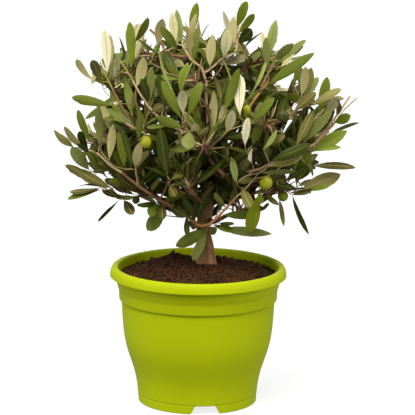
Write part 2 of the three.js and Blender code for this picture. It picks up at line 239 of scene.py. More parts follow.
# Twigs that the photograph shows, each from its foot: foot and tip radius, tone, and places in pixels
# with the distance in front of the trunk. They are built TWIG_SWELL times as thick.
TWIG_SWELL = 1.15
SEEN_TWIGS = [
    (2.2, 1.2, "red", [(226, 178, 40), (210, 160, 62), (197, 137, 86), (185, 130, 94), (184, 119, 98)]),
    (1.2, 0.8, "tan", [(207, 150, 70), (219, 139, 84), (229, 130, 92)]),
    (
        1.8, 0.9, "tan",
        [
            (252, 172, 30), (281, 158, 30), (309, 148, 22), (323, 133, 14), (337, 115, 8), (344, 107, 6),
            (350, 96, 4),
        ],
    ),
    (1.1, 0.5, "tan", [(311, 147, 22), (331, 128, 16), (342, 112, 12), (357, 98, 8)]),
    (1.7, 0.9, "dark", [(246, 184, 24), (268, 187, 30), (287, 190, 32), (303, 188, 30)]),
    (2.1, 1.3, "red", [(180, 210, 20), (161, 201, 40), (140, 187, 50), (122, 172.5, 46)]),
    (1.5, 0.8, "tan", [(122, 172.5, 46), (110, 165, 42), (98, 154, 34), (82, 148, 30)]),
    (1.6, 0.7, "red", [(146, 150, 60), (137, 130, 60), (123, 109, 56), (111, 86, 44), (100, 62, 26)]),
    (
        1.5, 0.7, "tan",
        [(194, 135, 84), (175, 128, 78), (154, 113, 68), (142, 97, 60), (130, 76, 48), (118, 57, 30)],
    ),
    (1.6, 1.0, "tan", [(208, 128, 50), (206, 96, 56), (205, 72, 50), (191, 60, 42), (183, 46, 34)]),
    (1.2, 0.7, "tan", [(205, 73, 50), (214, 66, 46), (224, 57, 40), (238, 51, 34)]),
    (1.5, 0.9, "orange", [(244, 122, 52), (249, 108, 52), (258, 95, 50), (268, 81, 42)]),
    (
        1.9, 1.0, "orange",
        [(195, 223, 28), (200, 226.5, 32), (210, 224, 38), (218, 217, 42), (227, 207, 46), (236, 197, 48)],
    ),
    (1.0, 0.5, "tan", [(236, 197, 48), (247, 187, 50), (258, 174, 52)]),
    (1.1, 0.7, "tan", [(138, 184, 50), (136, 172, 60), (135, 160, 66)]),
    (1.2, 0.6, "dark", [(150, 193, 30), (137, 197, 30), (118, 195, 24), (103, 187, 16)]),
    (1.1, 0.7, "red", [(165, 190, 50), (168, 180, 62), (167, 168, 70)]),
    (1.3, 0.7, "red", [(262, 86, 54), (272, 66, 36), (280, 56, 22)]),
    (1.2, 0.7, "tan", [(236, 52, 36), (238, 36, 24), (242, 24, 12)]),
    (1.4, 0.7, "red", [(290, 116, 40), (302, 104, 32), (316, 86, 18)]),
    (1.3, 1.2, "red", [(168, 54, 30), (160, 40, 16), (150, 29.5, 8)]),
]

# Leaves that the photograph shows: tip x, tip y, foot x, foot y, width, the tone of the side that shows,
# and how many layers it lies behind the front of the crown. The tones hold the painted light or shade on each
# leaf.
SEEN_LEAVES = [
    (104, 29, 107.3, 74, 9, "cream", 0), (110, 35.5, 110.5, 71, 8, "beige", 1),
    (129.5, 22, 131, 70, 8.5, "bright", 0), (148.5, 19.5, 134, 43, 7, "mid", 0),
    (141, 23.5, 135, 60, 8, "silver", 1), (144, 32, 136.5, 60, 6, "silver", 1),
    (120, 36.5, 125, 60, 3, "deep", 1), (138, 39.5, 157, 53, 3.5, "deep", 0),
    (144, 56, 136, 88, 10, "beige", 0), (74, 60, 93.5, 81, 5.5, "beige", 0),
    (91.5, 59, 101, 82, 9, "olive", 0), (72, 97.5, 114, 106, 8.5, "mid", 0),
    (163, 106, 151, 112, 8, "olive", 0), (78, 110, 91, 143, 7, "mid", 0),
    (79, 131, 89, 151, 7, "deep", 0), (98, 104, 100, 149, 8, "grey", 0),
    (102, 106, 111, 132, 8, "beige", 1), (113, 124, 109, 161, 8, "beige", 0),
    (53.8, 130.5, 74, 147.5, 6.5, "khaki", 0), (64, 127, 82.5, 149, 6, "khaki", 0),
    (116, 57, 120, 72, 6, "silver", 0), (162.5, 18, 157, 46, 10, "beige", 0),
    (158, 41, 151, 63, 3, "mid", 1), (164, 50, 178, 72, 8, "deep", 1), (161, 53, 166, 70, 5, "deep", 1),
    (161, 28, 178, 50, 8, "mid", 0), (172, 13, 175, 44, 8, "silver", 0),
    (181, 26, 175, 48, 6, "beige", 1), (176, 10, 182, 46, 7, "pale", 1),
    (197, 3, 191.5, 38, 8.5, "bright", 1), (195, 14.5, 191, 42, 6, "beige", 0),
    (197, 26, 194, 62, 7, "mid", 0), (187, 31, 192, 59, 7, "beige", 0), (192, 60, 181, 94, 2, "pale", 0),
    (155, 50, 176, 97, 2, "pale", 0), (188, 63, 180, 93, 8, "bright", 0),
    (183, 88, 183, 115, 9, "silver", 0), (162, 81, 182, 120, 9, "mid", 0),
    (201, 82, 187, 119, 9, "mid", 0), (156, 117, 184, 128, 9, "mid", 0),
    (199, 124, 190, 132, 7, "beige", 0), (188, 148, 190, 131, 13, "grey", 0),
    (151, 67, 150, 102, 7, "grey", 0), (142, 81, 148, 103, 8, "deep", 0),
    (247, 2, 237, 28, 8.5, "bright", 0), (255, 13, 238, 34, 7, "bright", 0),
    (252, 28.5, 238, 43.5, 11, "deep", 0), (224.5, 10, 229.5, 38, 5.5, "cream", 0),
    (227, 30, 223, 58, 10, "silver", 0), (213, 36, 210, 68, 9, "beige", 0),
    (224, 27, 219, 56, 4, "deep", 1), (234, 16.5, 234, 46, 8, "beige", 1),
    (261, 30, 243, 50, 2, "deep", 0), (276, 20.3, 268.5, 58, 9, "pale", 0),
    (266, 38, 267, 70, 7, "grey", 0), (261.5, 33, 265, 56, 2, "silver", 1),
    (293, 44, 274, 61, 8, "grey", 0), (305, 39.5, 280, 63, 6.5, "grey", 0),
    (295, 52, 279, 68, 4, "beige", 1), (315, 52.5, 266.5, 86.5, 10, "mid", 0),
    (306, 66, 301, 97, 8, "beige", 0), (311, 68, 304, 98, 10, "grey", 1),
    (318, 77, 306, 97, 7, "grey", 1), (315, 93, 293, 112, 9, "olive", 0),
    (341, 89, 310, 106, 7.5, "khaki", 0), (327, 77, 319, 115, 10, "bright", 0),
    (337, 96.5, 327, 115, 10, "silver", 0), (341, 99, 336, 116, 6, "olive", 0),
    (330, 99, 321, 123, 8, "olive", 1), (350, 116, 334, 123, 9.5, "bright", 0),
    (359, 121.5, 326, 137, 4, "olive", 0), (347, 131, 311, 149.5, 12, "bright", 0),
    (332, 111, 301, 145, 9, "grey", 0), (313, 111, 295, 148, 9, "olive", 0),
    (241, 76, 240, 116, 10.5, "cream", 0), (248, 118, 245, 147, 7, "cream", 0),
    (225, 60, 235, 96, 2, "pale", 0), (267, 63, 250, 96, 2, "pale", 0), (239, 68, 224, 114, 9, "mid", 0),
    (274, 98, 252, 123, 8, "mid", 0), (232, 112, 226, 132, 9, "silver", 0),
    (72, 147.5, 90, 171, 12, "grey", 0), (88, 150, 106, 176, 9, "mid", 1),
    (65.5, 165, 96, 181.5, 7, "olive", 0), (76, 169, 112, 188, 10.5, "olive", 0),
    (70, 192, 102, 187.5, 4, "umber", 0), (67, 197.5, 102, 189.5, 5.5, "mid", 0),
    (98, 221, 120, 199, 2.3, "deep", 0), (107, 191, 124, 199, 5, "umber", 0),
    (133, 214.8, 123.5, 199.5, 9.5, "umber", 0), (137, 207, 157, 201, 5, "deep", 0),
    (150, 217, 156, 201, 9, "mid", 0), (147.3, 230, 164.5, 207.5, 13.5, "mid", 0),
    (172, 212, 158, 200, 6, "deep", 1), (187, 217, 167, 206, 9, "deep", 0),
    (188, 236, 186, 216, 6, "deep", 0), (176, 246, 208, 227, 12, "mid", 0),
    (193, 260, 207, 228, 9, "grey", 0), (217, 234, 207, 227, 8, "mid", 1),
    (120, 127, 124, 169, 10, "mid", 0), (122, 128, 132, 169, 6, "deep", 0),
    (140, 144, 135, 168, 9, "beige", 0), (148, 149, 136, 170, 5, "khaki", 0),
    (152, 160, 146, 180, 5, "deep", 1), (140, 116, 138, 141, 6, "mid", 0),
    (160, 128, 167, 176, 11, "deep", 0), (198, 157, 170, 181, 11, "mid", 0),
    (203, 176, 172, 186, 10, "deep", 0), (159, 180, 152, 192, 5, "olive", 0),
    (176, 197, 169, 185, 8, "umber", 0), (183, 198, 196, 222, 7, "deep", 0),
    (209, 186, 197, 221, 11.5, "deep", 0), (203, 208, 198, 223, 8, "deep", 1),
    (259, 125, 252, 146, 9, "mid", 0), (277, 131, 263, 149, 4, "pale", 0),
    (285, 136, 268, 146, 7, "olive", 0), (326, 120, 315, 138, 8, "beige", 1),
    (340, 146, 311, 152, 5, "bright", 0), (311, 144, 269, 162, 10, "deep", 0),
    (303, 156, 268, 167, 9, "olive", 0), (311, 152, 297, 184, 8.5, "mid", 0),
    (356, 166.5, 311, 166, 6.5, "umber", 0), (340.5, 174.5, 299, 191, 14.5, "khaki", 0),
    (329, 186, 302, 190, 4, "bright", 0), (310, 192, 289, 193, 4, "olive", 0),
    (307.3, 235.5, 291.8, 193, 4.2, "deep", 0), (285.5, 226, 279, 198, 4.5, "khaki", 0),
    (278, 207.5, 266, 192, 5.5, "umber", 0), (296, 171, 259, 173, 5, "grey", 0),
    (232, 158, 237, 184, 6, "pale", 0), (250, 160, 229, 203, 9, "grey", 0),
    (231, 174, 219, 206, 10, "deep", 0), (217, 179, 220, 212, 3, "mid", 0),
    (214, 196, 227, 208, 3, "pale", 0), (250, 207, 241, 188, 10, "olive", 0),
    (249, 232, 259, 193, 13, "lime", 0), (262, 201, 259, 191, 4, "mid", 0),
    (258, 214, 221, 215, 9, "mid", 0), (233, 224, 219, 223, 4, "deep", 0),
    (271.5, 233.8, 216, 228, 9, "grey", 0), (249, 148, 252, 163, 5, "cream", 0),
    (137, 24, 134, 58, 8, "silver", 1), (112, 183, 135, 195, 6, "umber", 1),
    (104, 178, 128, 191, 7, "deep", 1), (296, 187, 264, 184, 6, "deep", 1),
    (158, 74, 164, 108, 8, "deep", 1), (222, 204, 212, 218, 6, "deep", 1),
    (233, 232, 213, 225, 6, "mid", 0), (155, 163, 153, 184, 8, "deep", 1),
    (105, 161, 122, 183, 8, "umber", 1), (112, 160, 124, 176, 6, "olive", 1),
    (191, 231, 193, 214, 6, "umber", 1), (300, 161, 296, 187, 5, "umber", 1),
    (333, 110, 328, 128, 4, "deep", 1), (263, 195, 279, 193, 5, "umber", 1),
    (269, 205, 257, 212, 3, "deep", 0), (301, 66, 292, 84, 7, "mid", 1),
    (155, 200, 139, 197, 4, "umber", 0), (131, 199, 117, 196, 4, "deep", 0),
    (160, 43, 151, 60, 4, "mid", 1), (103, 191, 122, 198, 5, "umber", 0),
    (187, 206, 172, 200, 6, "deep", 1), (111, 190, 121, 200, 3, "deep", 1),
    (187, 192, 201, 207, 3, "deep", 0), (93, 171, 113, 169, 6, "deep", 1),
    (110, 180.5, 134, 187, 7, "mid", 0), (79, 143, 88, 153, 6, "deep", 0),
    (91, 150, 100, 146, 5, "mid", 1), (120, 177, 140, 194, 8, "umber", 0),
    (128, 180, 146, 195, 7, "deep", 1), (318, 180, 298, 186, 6, "khaki", 1),
    (249, 190, 255, 208, 6, "deep", 1), (96, 72, 92, 84, 4, "beige", 1),
    (88, 163, 104, 174, 5, "umber", 1), (312, 190.5, 291, 195, 4, "olive", 0),
    (79, 183.5, 100, 187, 2.5, "umber", 0), (158, 184, 173, 200, 11, "deep", 1),
    (166, 200.5, 190, 192, 6.5, "mid", 1), (190, 213, 170, 200, 8, "deep", 1),
    (163, 219, 162, 203, 8.5, "umber", 0), (152, 216, 160, 202, 7, "mid", 1),
    (342, 98, 326, 104, 5, "beige", 1), (160, 129, 176, 134, 5, "deep", 1),
]

# Olives that the photograph shows: x, y, width and height in pixels, and the tone. They are built
# OLIVE_SWELL times as large, OLIVE_BEHIND millimetres behind the front leaves' feet.
OLIVE_SWELL = 1.05
OLIVE_BEHIND = 6
SEEN_OLIVES = [
    (146, 142, 11, 12.5, "olive_light"), (247, 110, 8, 11, "olive_light"), (283, 116, 13, 10, "olive_shaded"),
    (266, 183, 13, 15, "olive_light"), (283, 196, 11, 11, "olive_light"), (136, 200, 8, 8, "olive_shaded"),
    (203, 133, 7, 9, "olive_shaded"),
]

# Olives on the sides and the back: bearing of the first, degrees that they take up, rises and distances
# from the crown's centre, and the width and height of each
HIDDEN_OLIVES = 12
HIDDEN_BEARING = 20
HIDDEN_SPAN = 140
HIDDEN_RISES = (-30, 35)
HIDDEN_REACH = (92, 118)
HIDDEN_SIZE = (11, 13)

# Stalks: their radius, and the radii of the last rings, at the olive
STALK_RADIUS = 0.55
STALK_END = [0.8, 1.3]

# Where the photograph shows sky through the crown or beside it: x, y and radius
OPEN_SKY = [
    (120, 24, 6), (184, 31, 3), (214, 19, 10.5), (211, 30, 10), (205, 28, 7), (262, 22, 7),
    (280, 45, 4), (287, 44, 5), (322, 66, 7), (86, 48, 7), (117, 41, 3), (121, 52, 2.5), (250, 50, 4),
    (258, 37, 3), (281, 86, 5), (298, 114, 2), (309, 109, 3), (350, 106, 4), (350, 142, 6),
    (335, 155, 8), (322, 154, 4), (92, 88, 8), (100, 91, 7), (104, 94, 6), (64, 110, 8), (64, 154, 8),
    (75, 181, 4), (76, 118, 4), (74, 128, 3), (89, 122, 2.5), (90, 130, 2), (108, 207, 9),
    (142, 198, 2.5), (140, 224, 6), (168, 226, 9), (178, 232, 6), (232, 244, 9), (268, 214, 7),
    (268, 243, 9), (292, 212, 7), (322, 204, 9), (213, 70, 4), (141, 110, 4), (300, 110, 3),
    (210, 77, 4), (216, 70, 3), (284, 83, 7), (276, 89, 4), (284, 128, 5), (290, 170, 3), (288, 180, 4),
    (199, 190, 3), (86, 106, 7), (214, 22, 8), (153, 24, 4), (212, 28, 10), (100, 92, 7), (104, 98, 5),
    (91, 115, 4), (148, 52, 4), (152, 40, 3), (252, 44, 5), (206, 28, 6), (238, 204, 4), (266, 202, 3),
    (240, 223, 3),
]

# How far leaves reach from the crown's middle as the photograph shows them, in pixels, each OUTLINE_STEP
# degrees round from the right by the top
OUTLINE_STEP = 22.5
OUTLINE_REACH = [150, 134, 134, 124, 122, 108, 122, 142, 144, 141, 112, 112, 102, 104, 120, 148]

# Seeds of the random draws. A mass adds its number to MASS_SEED.
CRUMB_SEED = 41
MASS_SEED = 700
INNER_SEED = 611
LEAF_SEED = 5
OLIVE_SEED = 88


def unit(vectors):
    """The same directions with length 1."""
    vectors = np.asarray(vectors, float)
    return vectors / np.maximum(np.linalg.norm(vectors, axis=-1, keepdims=True), 1e-9)


VIEW_AHEAD = unit(CAMERA_AIM - CAMERA_PLACE)
LEVEL_RIGHT = np.array([1.0, 0.0, 0.0])
LEVEL_UP = np.cross(LEVEL_RIGHT, VIEW_AHEAD)
ROLL = math.radians(CAMERA_ROLL)
VIEW_RIGHT = LEVEL_RIGHT * math.cos(ROLL) + LEVEL_UP * math.sin(ROLL)
VIEW_UP = LEVEL_UP * math.cos(ROLL) - LEVEL_RIGHT * math.sin(ROLL)


def seen(x, y, nearer):
    """The place that shows at a pixel, so many millimetres in front of the trunk."""
    ray = VIEW_AHEAD * FOCAL_PIXELS + VIEW_RIGHT * (x - OPTICAL_CENTRE[0]) + VIEW_UP * (OPTICAL_CENTRE[1] - y)
    return CAMERA_PLACE + ray * (-nearer - CAMERA_PLACE[1]) / ray[1]


def pixel_of(place):
    """The pixel at which a place shows."""
    ray = np.asarray(place, float) - CAMERA_PLACE
    scale = FOCAL_PIXELS / (ray @ VIEW_AHEAD)
    return OPTICAL_CENTRE[0] + scale * (ray @ VIEW_RIGHT), OPTICAL_CENTRE[1] - scale * (ray @ VIEW_UP)


def direction(bearing, rise):
    """A unit vector at a bearing and a rise in degrees."""
    turn = math.radians(bearing)
    lift = math.radians(rise)
    return np.array([math.cos(lift) * math.cos(turn), math.cos(lift) * math.sin(turn), math.sin(lift)])


def display(red, green, blue):
    """A base colour from its look on a screen, 0 to 255."""
    return tuple(
        channel / 255 / 12.92 if channel <= 10 else ((channel / 255 + 0.055) / 1.055) ** 2.4
        for channel in (red, green, blue)
    ) + (1.0,)


# Finishes


class Value:
    """A number that changes over a surface. Sums, differences and products of values are Math nodes."""

    def __init__(self, finish, socket):
        self.finish = finish
        self.socket = socket

    def combined(self, operation, first, second):
        made = self.finish.node("ShaderNodeMath", {"operation": operation}, {0: first, 1: second})
        return Value(self.finish, made.outputs[0])

    def __add__(self, other):
        return self.combined("ADD", self, other)

    __radd__ = __add__

    def __rsub__(self, other):
        return self.combined("SUBTRACT", other, self)

    def __mul__(self, other):
        return self.combined("MULTIPLY", self, other)

    __rmul__ = __mul__

    def between(self, low, high):
        """0 below low, 1 above high, and a smooth step between them."""
        made = self.finish.node(
            "ShaderNodeMapRange",
            {"interpolation_type": "SMOOTHSTEP"},
            {"Value": self, "From Min": low, "From Max": high},
        )
        return Value(self.finish, made.outputs["Result"])


class Finish:
    """One material, made of nodes round its shader."""

    def __init__(self, name, colour, roughness, **fixed):
        self.material = bpy.data.materials.new(name)
        self.material.use_nodes = True
        self.tree = self.material.node_tree
        self.shader = self.tree.nodes["Principled BSDF"]
        self.feed(self.shader.inputs["Base Color"], colour)
        self.feed(self.shader.inputs["Roughness"], roughness)
        for socket, value in fixed.items():
            self.feed(self.shader.inputs[socket.replace("_", " ")], value)

    def feed(self, socket, value):
        if isinstance(value, Value):
            self.tree.links.new(value.socket, socket)
        elif isinstance(value, bpy.types.NodeSocket):
            self.tree.links.new(value, socket)
        else:
            socket.default_value = value

    def node(self, kind, settings, sockets):
        made = self.tree.nodes.new(kind)
        for name, value in settings.items():
            setattr(made, name, value)
        for name, value in sockets.items():
            self.feed(made.inputs[name], value)
        return made

    def noise(self, scale, detail=3, stretch=(1, 1, 1), shift=(0, 0, 0)):
        """Uneven spots, so many to the metre."""
        place = self.node("ShaderNodeTexCoord", {}, {}).outputs["Object"]
        spread = self.node("ShaderNodeMapping", {}, {"Vector": place, "Scale": stretch, "Location": shift})
        made = self.node(
            "ShaderNodeTexNoise", {}, {"Vector": spread.outputs[0], "Scale": scale, "Detail": detail}
        )
        return Value(self, made.outputs[0])

    def mix(self, mask, first, second):
        """A colour between two, by a mask."""
        made = self.node("ShaderNodeMix", {"data_type": "RGBA"}, {0: mask, 6: first, 7: second})
        return made.outputs[2]

    def colour(self, colour):
        self.feed(self.shader.inputs["Base Color"], colour)

    def roughness(self, value):
        self.feed(self.shader.inputs["Roughness"], value)

    def bump(self, height, distance, strength=1.0):
        made = self.node("ShaderNodeBump", {}, {"Strength": strength, "Distance": distance, "Height": height})
        self.feed(self.shader.inputs["Normal"], made.outputs[0])


def pot_finish():
    """Lime-green moulded plastic with a fine grain and faint flow marks."""
    finish = Finish("lime_plastic", display(170, 184, 4), 0.5, Specular_IOR_Level=0.08)
    flow = finish.noise(9, 2, (1, 1, 0.35))
    cloud = flow.between(0.3, 0.75)
    finish.colour(finish.mix(cloud, display(164, 177, 2), display(171, 184, 4)))
    grain = finish.noise(1500, 2)
    finish.roughness(0.44 + 0.1 * grain + 0.06 * flow)
    finish.bump(0.6 * grain + 0.6 * finish.noise(220, 2), 0.00012, 0.7)
    return finish.material


def soil_finish():
    """Moist potting soil: dark crumbs, reddish fibres and a few pale grains."""
    finish = Finish("potting_soil", display(62, 41, 25), 0.9, Specular_IOR_Level=0.04)
    lumps = finish.noise(300, 6)
    patches = finish.noise(46, 3)
    grains = finish.noise(900, 2)
    ground = finish.mix(lumps.between(0.34, 0.66), display(31, 19, 10), display(77, 51, 30))
    reddish = finish.mix(patches.between(0.56, 0.72) * 0.7, ground, display(92, 51, 28))
    pale = finish.mix(grains.between(0.68, 0.74), reddish, display(168, 136, 88))
    finish.colour(pale)
    finish.roughness(0.98 - 0.2 * lumps)
    finish.bump(lumps + 0.5 * grains, 0.0012, 0.8)
    return finish.material


def bark_finish(name, light, dark, moss):
    """Young olive bark: pinkish brown with darker streaks along the wood and a grey bloom."""
    finish = Finish(name, display(*light), 0.8, Specular_IOR_Level=0.2)
    streaks = finish.noise(160, 5, (1, 1, 0.16))
    blotches = finish.noise(60, 4, (1, 1, 0.6), (3, 1, 2))
    specks = finish.noise(700, 3)
    ground = finish.mix(streaks.between(0.34, 0.66), display(*dark), display(*light))
    bloom = finish.mix(blotches.between(0.52, 0.72) * 0.6, ground, display(*moss))
    finish.colour(finish.mix(specks.between(0.62, 0.72) * 0.5, bloom, display(*dark)))
    finish.roughness(0.72 + 0.2 * streaks)
    finish.bump(streaks + 0.4 * specks, 0.0005, 0.7)
    return finish.material


def olive_finish(name, light, dark):
    """Smooth green olive skin with small pale dots."""
    finish = Finish(name, display(*light), 0.34, Specular_IOR_Level=0.3)
    cloud = finish.noise(70, 2)
    dots = finish.noise(1300, 1)
    skin = finish.mix(cloud.between(0.35, 0.7), display(*dark), display(*light))
    finish.colour(finish.mix(dots.between(0.68, 0.74) * 0.5, skin, display(205, 210, 120)))
    finish.roughness(0.3 + 0.14 * cloud)
    finish.bump(dots, 0.0001, 0.4)
    return finish.material


def plain_finish(name, colour, roughness, **fixed):
    """One plain colour, as each side of a leaf or a stretch of twig has."""
    return Finish(name, display(*colour), roughness, **fixed).material


LEAF_SHEEN = {"Specular_IOR_Level": 0.14}
# The leaf tones are the leaf's own colours with painted light and shade: deep, olive and umber paint shade,
# bright and cream paint light, and grey paints the sheen of the green side.
LEAF_LOOKS = {
    "deep": ("leaf_deep_green_painted_shade", (60, 68, 19), 0.42),
    "mid": ("leaf_green", (94, 105, 29), 0.42),
    "bright": ("leaf_bright_green_painted_light", (113, 126, 34), 0.42),
    "grey": ("leaf_grey_green_painted_sheen", (112, 118, 58), 0.48),
    "pale": ("leaf_pale_green", (144, 155, 82), 0.48),
    "lime": ("leaf_yellow_green", (124, 132, 12), 0.48),
    "cream": ("leaf_underside_cream_painted_light", (238, 232, 190), 0.7),
    "silver": ("leaf_underside_silver", (210, 203, 150), 0.7),
    "beige": ("leaf_underside_beige", (173, 163, 107), 0.7),
    "khaki": ("leaf_underside_khaki", (136, 128, 72), 0.7),
    "olive": ("leaf_underside_olive_painted_shade", (110, 104, 48), 0.7),
    "umber": ("leaf_underside_umber_painted_shade", (82, 76, 29), 0.7),
    "rib": ("leaf_rib", (108, 116, 48), 0.5),
    "under_rib": ("leaf_underside_rib", (164, 152, 104), 0.7),
}
TWIG_LOOKS = {
    "red": ("twig_reddish", (138, 100, 72), 0.7),
    "tan": ("twig_tan", (186, 156, 118), 0.68),
    "orange": ("twig_orange", (176, 128, 82), 0.66),
    "dark": ("twig_dark", (74, 54, 34), 0.75),
    "green": ("twig_green", (134, 128, 66), 0.66),
}
LEAF_FINISHES = {tone: plain_finish(*look, **LEAF_SHEEN) for tone, look in LEAF_LOOKS.items()}
TWIG_FINISHES = {tone: plain_finish(*look, **LEAF_SHEEN) for tone, look in TWIG_LOOKS.items()}
LEAF_TONES = list(LEAF_LOOKS)
TWIG_TONES = list(TWIG_FINISHES)


# Shapes


def make_piece(name, shape, finishes, nodes=(), crease=None):
    """Turns a bmesh in millimetres, or a mesh from Blank.joined, into a piece of the plant or the pot."""
    if isinstance(shape, bmesh.types.BMesh):
        mesh = bpy.data.meshes.new(name)
        bmesh.ops.scale(shape, vec=(MM, MM, MM), verts=shape.verts)
        shape.to_mesh(mesh)
        shape.free()
    else:
        mesh = shape
    for finish in finishes:
        mesh.materials.append(finish)
    mesh.shade_smooth()
    if crease is not None:
        mesh.set_sharp_from_angle(angle=math.radians(crease))
    piece = bpy.data.objects.new(name, mesh)
    bpy.context.scene.collection.objects.link(piece)
    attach(piece, BODY)
    if nodes:
        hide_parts(*nodes)


class Blank:
    """A small closed shape whose many copies are joined into one piece."""

    def __init__(self, shape):
        shape.verts.index_update()
        self.places = np.array([tuple(vert.co) for vert in shape.verts])
        self.corners = np.concatenate([[vert.index for vert in face.verts] for face in shape.faces])
        self.sides = np.array([len(face.verts) for face in shape.faces])
        self.parts = np.array([face.material_index for face in shape.faces])
        self.middles = np.array([tuple(face.calc_center_median()) for face in shape.faces])
        shape.free()

    def joined(self, name, places, tones):
        """One mesh in metres of all copies, from their vertices (copy, vertex, 3) and faces' finishes."""
        copies, count = places.shape[:2]
        mesh = bpy.data.meshes.new(name)
        mesh.vertices.add(copies * count)
        mesh.vertices.foreach_set("co", (places * MM).astype(np.float32).ravel())
        corners = (self.corners[None, :] + count * np.arange(copies)[:, None]).ravel()
        starts = np.concatenate([[0], np.cumsum(np.tile(self.sides, copies))[:-1]])
        mesh.loops.add(len(corners))
        mesh.loops.foreach_set("vertex_index", corners.astype(np.int32))
        mesh.polygons.add(copies * len(self.sides))
        mesh.polygons.foreach_set("loop_start", starts.astype(np.int32))
        mesh.polygons.foreach_set("material_index", np.asarray(tones).astype(np.int32).ravel())
        mesh.update(calc_edges=True)
        mesh.validate()
        return mesh


def smooth_path(points, count):
    """Places spaced evenly along a smooth curve through the given ones."""
    points = np.asarray(points, float)
    padded = np.vstack([2 * points[0] - points[1], points, 2 * points[-1] - points[-2]])
    shares = np.linspace(0, 1, CURVE_STEPS, endpoint=False)[:, None]
    stretches = []
    for before, start, end, after in zip(padded, padded[1:], padded[2:], padded[3:]):
        slope = end - before
        curve = 2 * before - 5 * start + 4 * end - after
        twist = after - before + 3 * (start - end)
        stretches.append(start + 0.5 * (slope * shares + curve * shares**2 + twist * shares**3))
    dense = np.vstack([*stretches, points[-1]])
    lengths = np.concatenate([[0], np.cumsum(np.linalg.norm(np.diff(dense, axis=0), axis=1))])
    wanted = np.linspace(0, lengths[-1], count)
    return np.stack([np.interp(wanted, lengths, dense[:, axis]) for axis in range(3)], axis=1)


def path_frames(path):
    """The direction of a path at each point, and two directions across it that don't turn round it."""
    ahead = unit(np.gradient(path, axis=0))
    start = np.cross(ahead[0], (0.3, 0.9, 0.2))
    across = [unit(start)]
    for way in ahead[1:]:
        across.append(unit(across[-1] - (across[-1] @ way) * way))
    across = np.array(across)
    return ahead, across, np.cross(ahead, across)


def rod(rings, sides):
    """A straight closed rod of many rings, from z = 0 to 1 and 1 in radius."""
    shape = bmesh.new()
    bmesh.ops.create_cone(shape, cap_ends=True, segments=sides, radius1=1, radius2=1, depth=1)
    upright = [edge for edge in shape.edges if abs(edge.verts[0].co.z - edge.verts[1].co.z) > 0.5]
    bmesh.ops.subdivide_edges(shape, edges=upright, cuts=rings - 2, use_grid_fill=True)
    bmesh.ops.translate(shape, vec=(0, 0, 0.5), verts=shape.verts)
    return shape


def turned(profile, columns, closed=False):
    """A body turned round the upright axis from its section, given as (radius, height)."""
    shape = bmesh.new()
    section = [shape.verts.new((radius, 0, height)) for radius, height in profile]
    edges = [shape.edges.new(pair) for pair in zip(section, section[1:])]
    if closed:
        edges.append(shape.edges.new((section[-1], section[0])))
    bmesh.ops.spin(
        shape,
        geom=section + edges,
        axis=(0, 0, 1),
        cent=(0, 0, 0),
        angle=math.tau,
        steps=columns,
        use_merge=True,
    )
    bmesh.ops.remove_doubles(shape, verts=shape.verts, dist=0.01)
    return shape


def limb(path, radius_at, sides, relief):
    """A round limb along a path, with the bark's relief. radius_at takes a share of the limb's length."""
    shape = rod(len(path), sides)
    _, across, beside = path_frames(path)
    for vert in shape.verts:
        ring = round(vert.co.z * (len(path) - 1))
        turn = math.atan2(vert.co.y, vert.co.x)
        radius = radius_at(ring / (len(path) - 1)) + relief(turn, path[ring])
        place = path[ring] + radius * (math.cos(turn) * across[ring] + math.sin(turn) * beside[ring])
        vert.co = Vector(place)
    bmesh.ops.recalc_face_normals(shape, faces=shape.faces)
    return shape


# Pot


def body_radius(height):
    swell = BELLY_SWELL / (1 + math.exp((BELLY_HEIGHT - height) / BELLY_SOFTNESS))
    return FOOT_RADIUS + WALL_TAPER * height + swell


BAND_RADIUS = body_radius(BAND_BOTTOM) + BAND_STEP
SOIL_RADIUS = BAND_RADIUS + BAND_LEAN - WALL + 2.3


def rounded(points, radius, steps=3):
    """A profile whose inner corners are rounded off."""
    result = [points[0]]
    for before, corner, after in zip(points, points[1:], points[2:]):
        before, corner, after = (np.array(point, float) for point in (before, corner, after))
        reach = min(radius, np.linalg.norm(before - corner) / 2, np.linalg.norm(after - corner) / 2)
        start = corner + unit(before - corner) * reach
        end = corner + unit(after - corner) * reach
        for share in np.linspace(0, 1, steps):
            result.append(tuple((1 - share) ** 2 * start + 2 * share * (1 - share) * corner + share**2 * end))
    return result + [points[-1]]


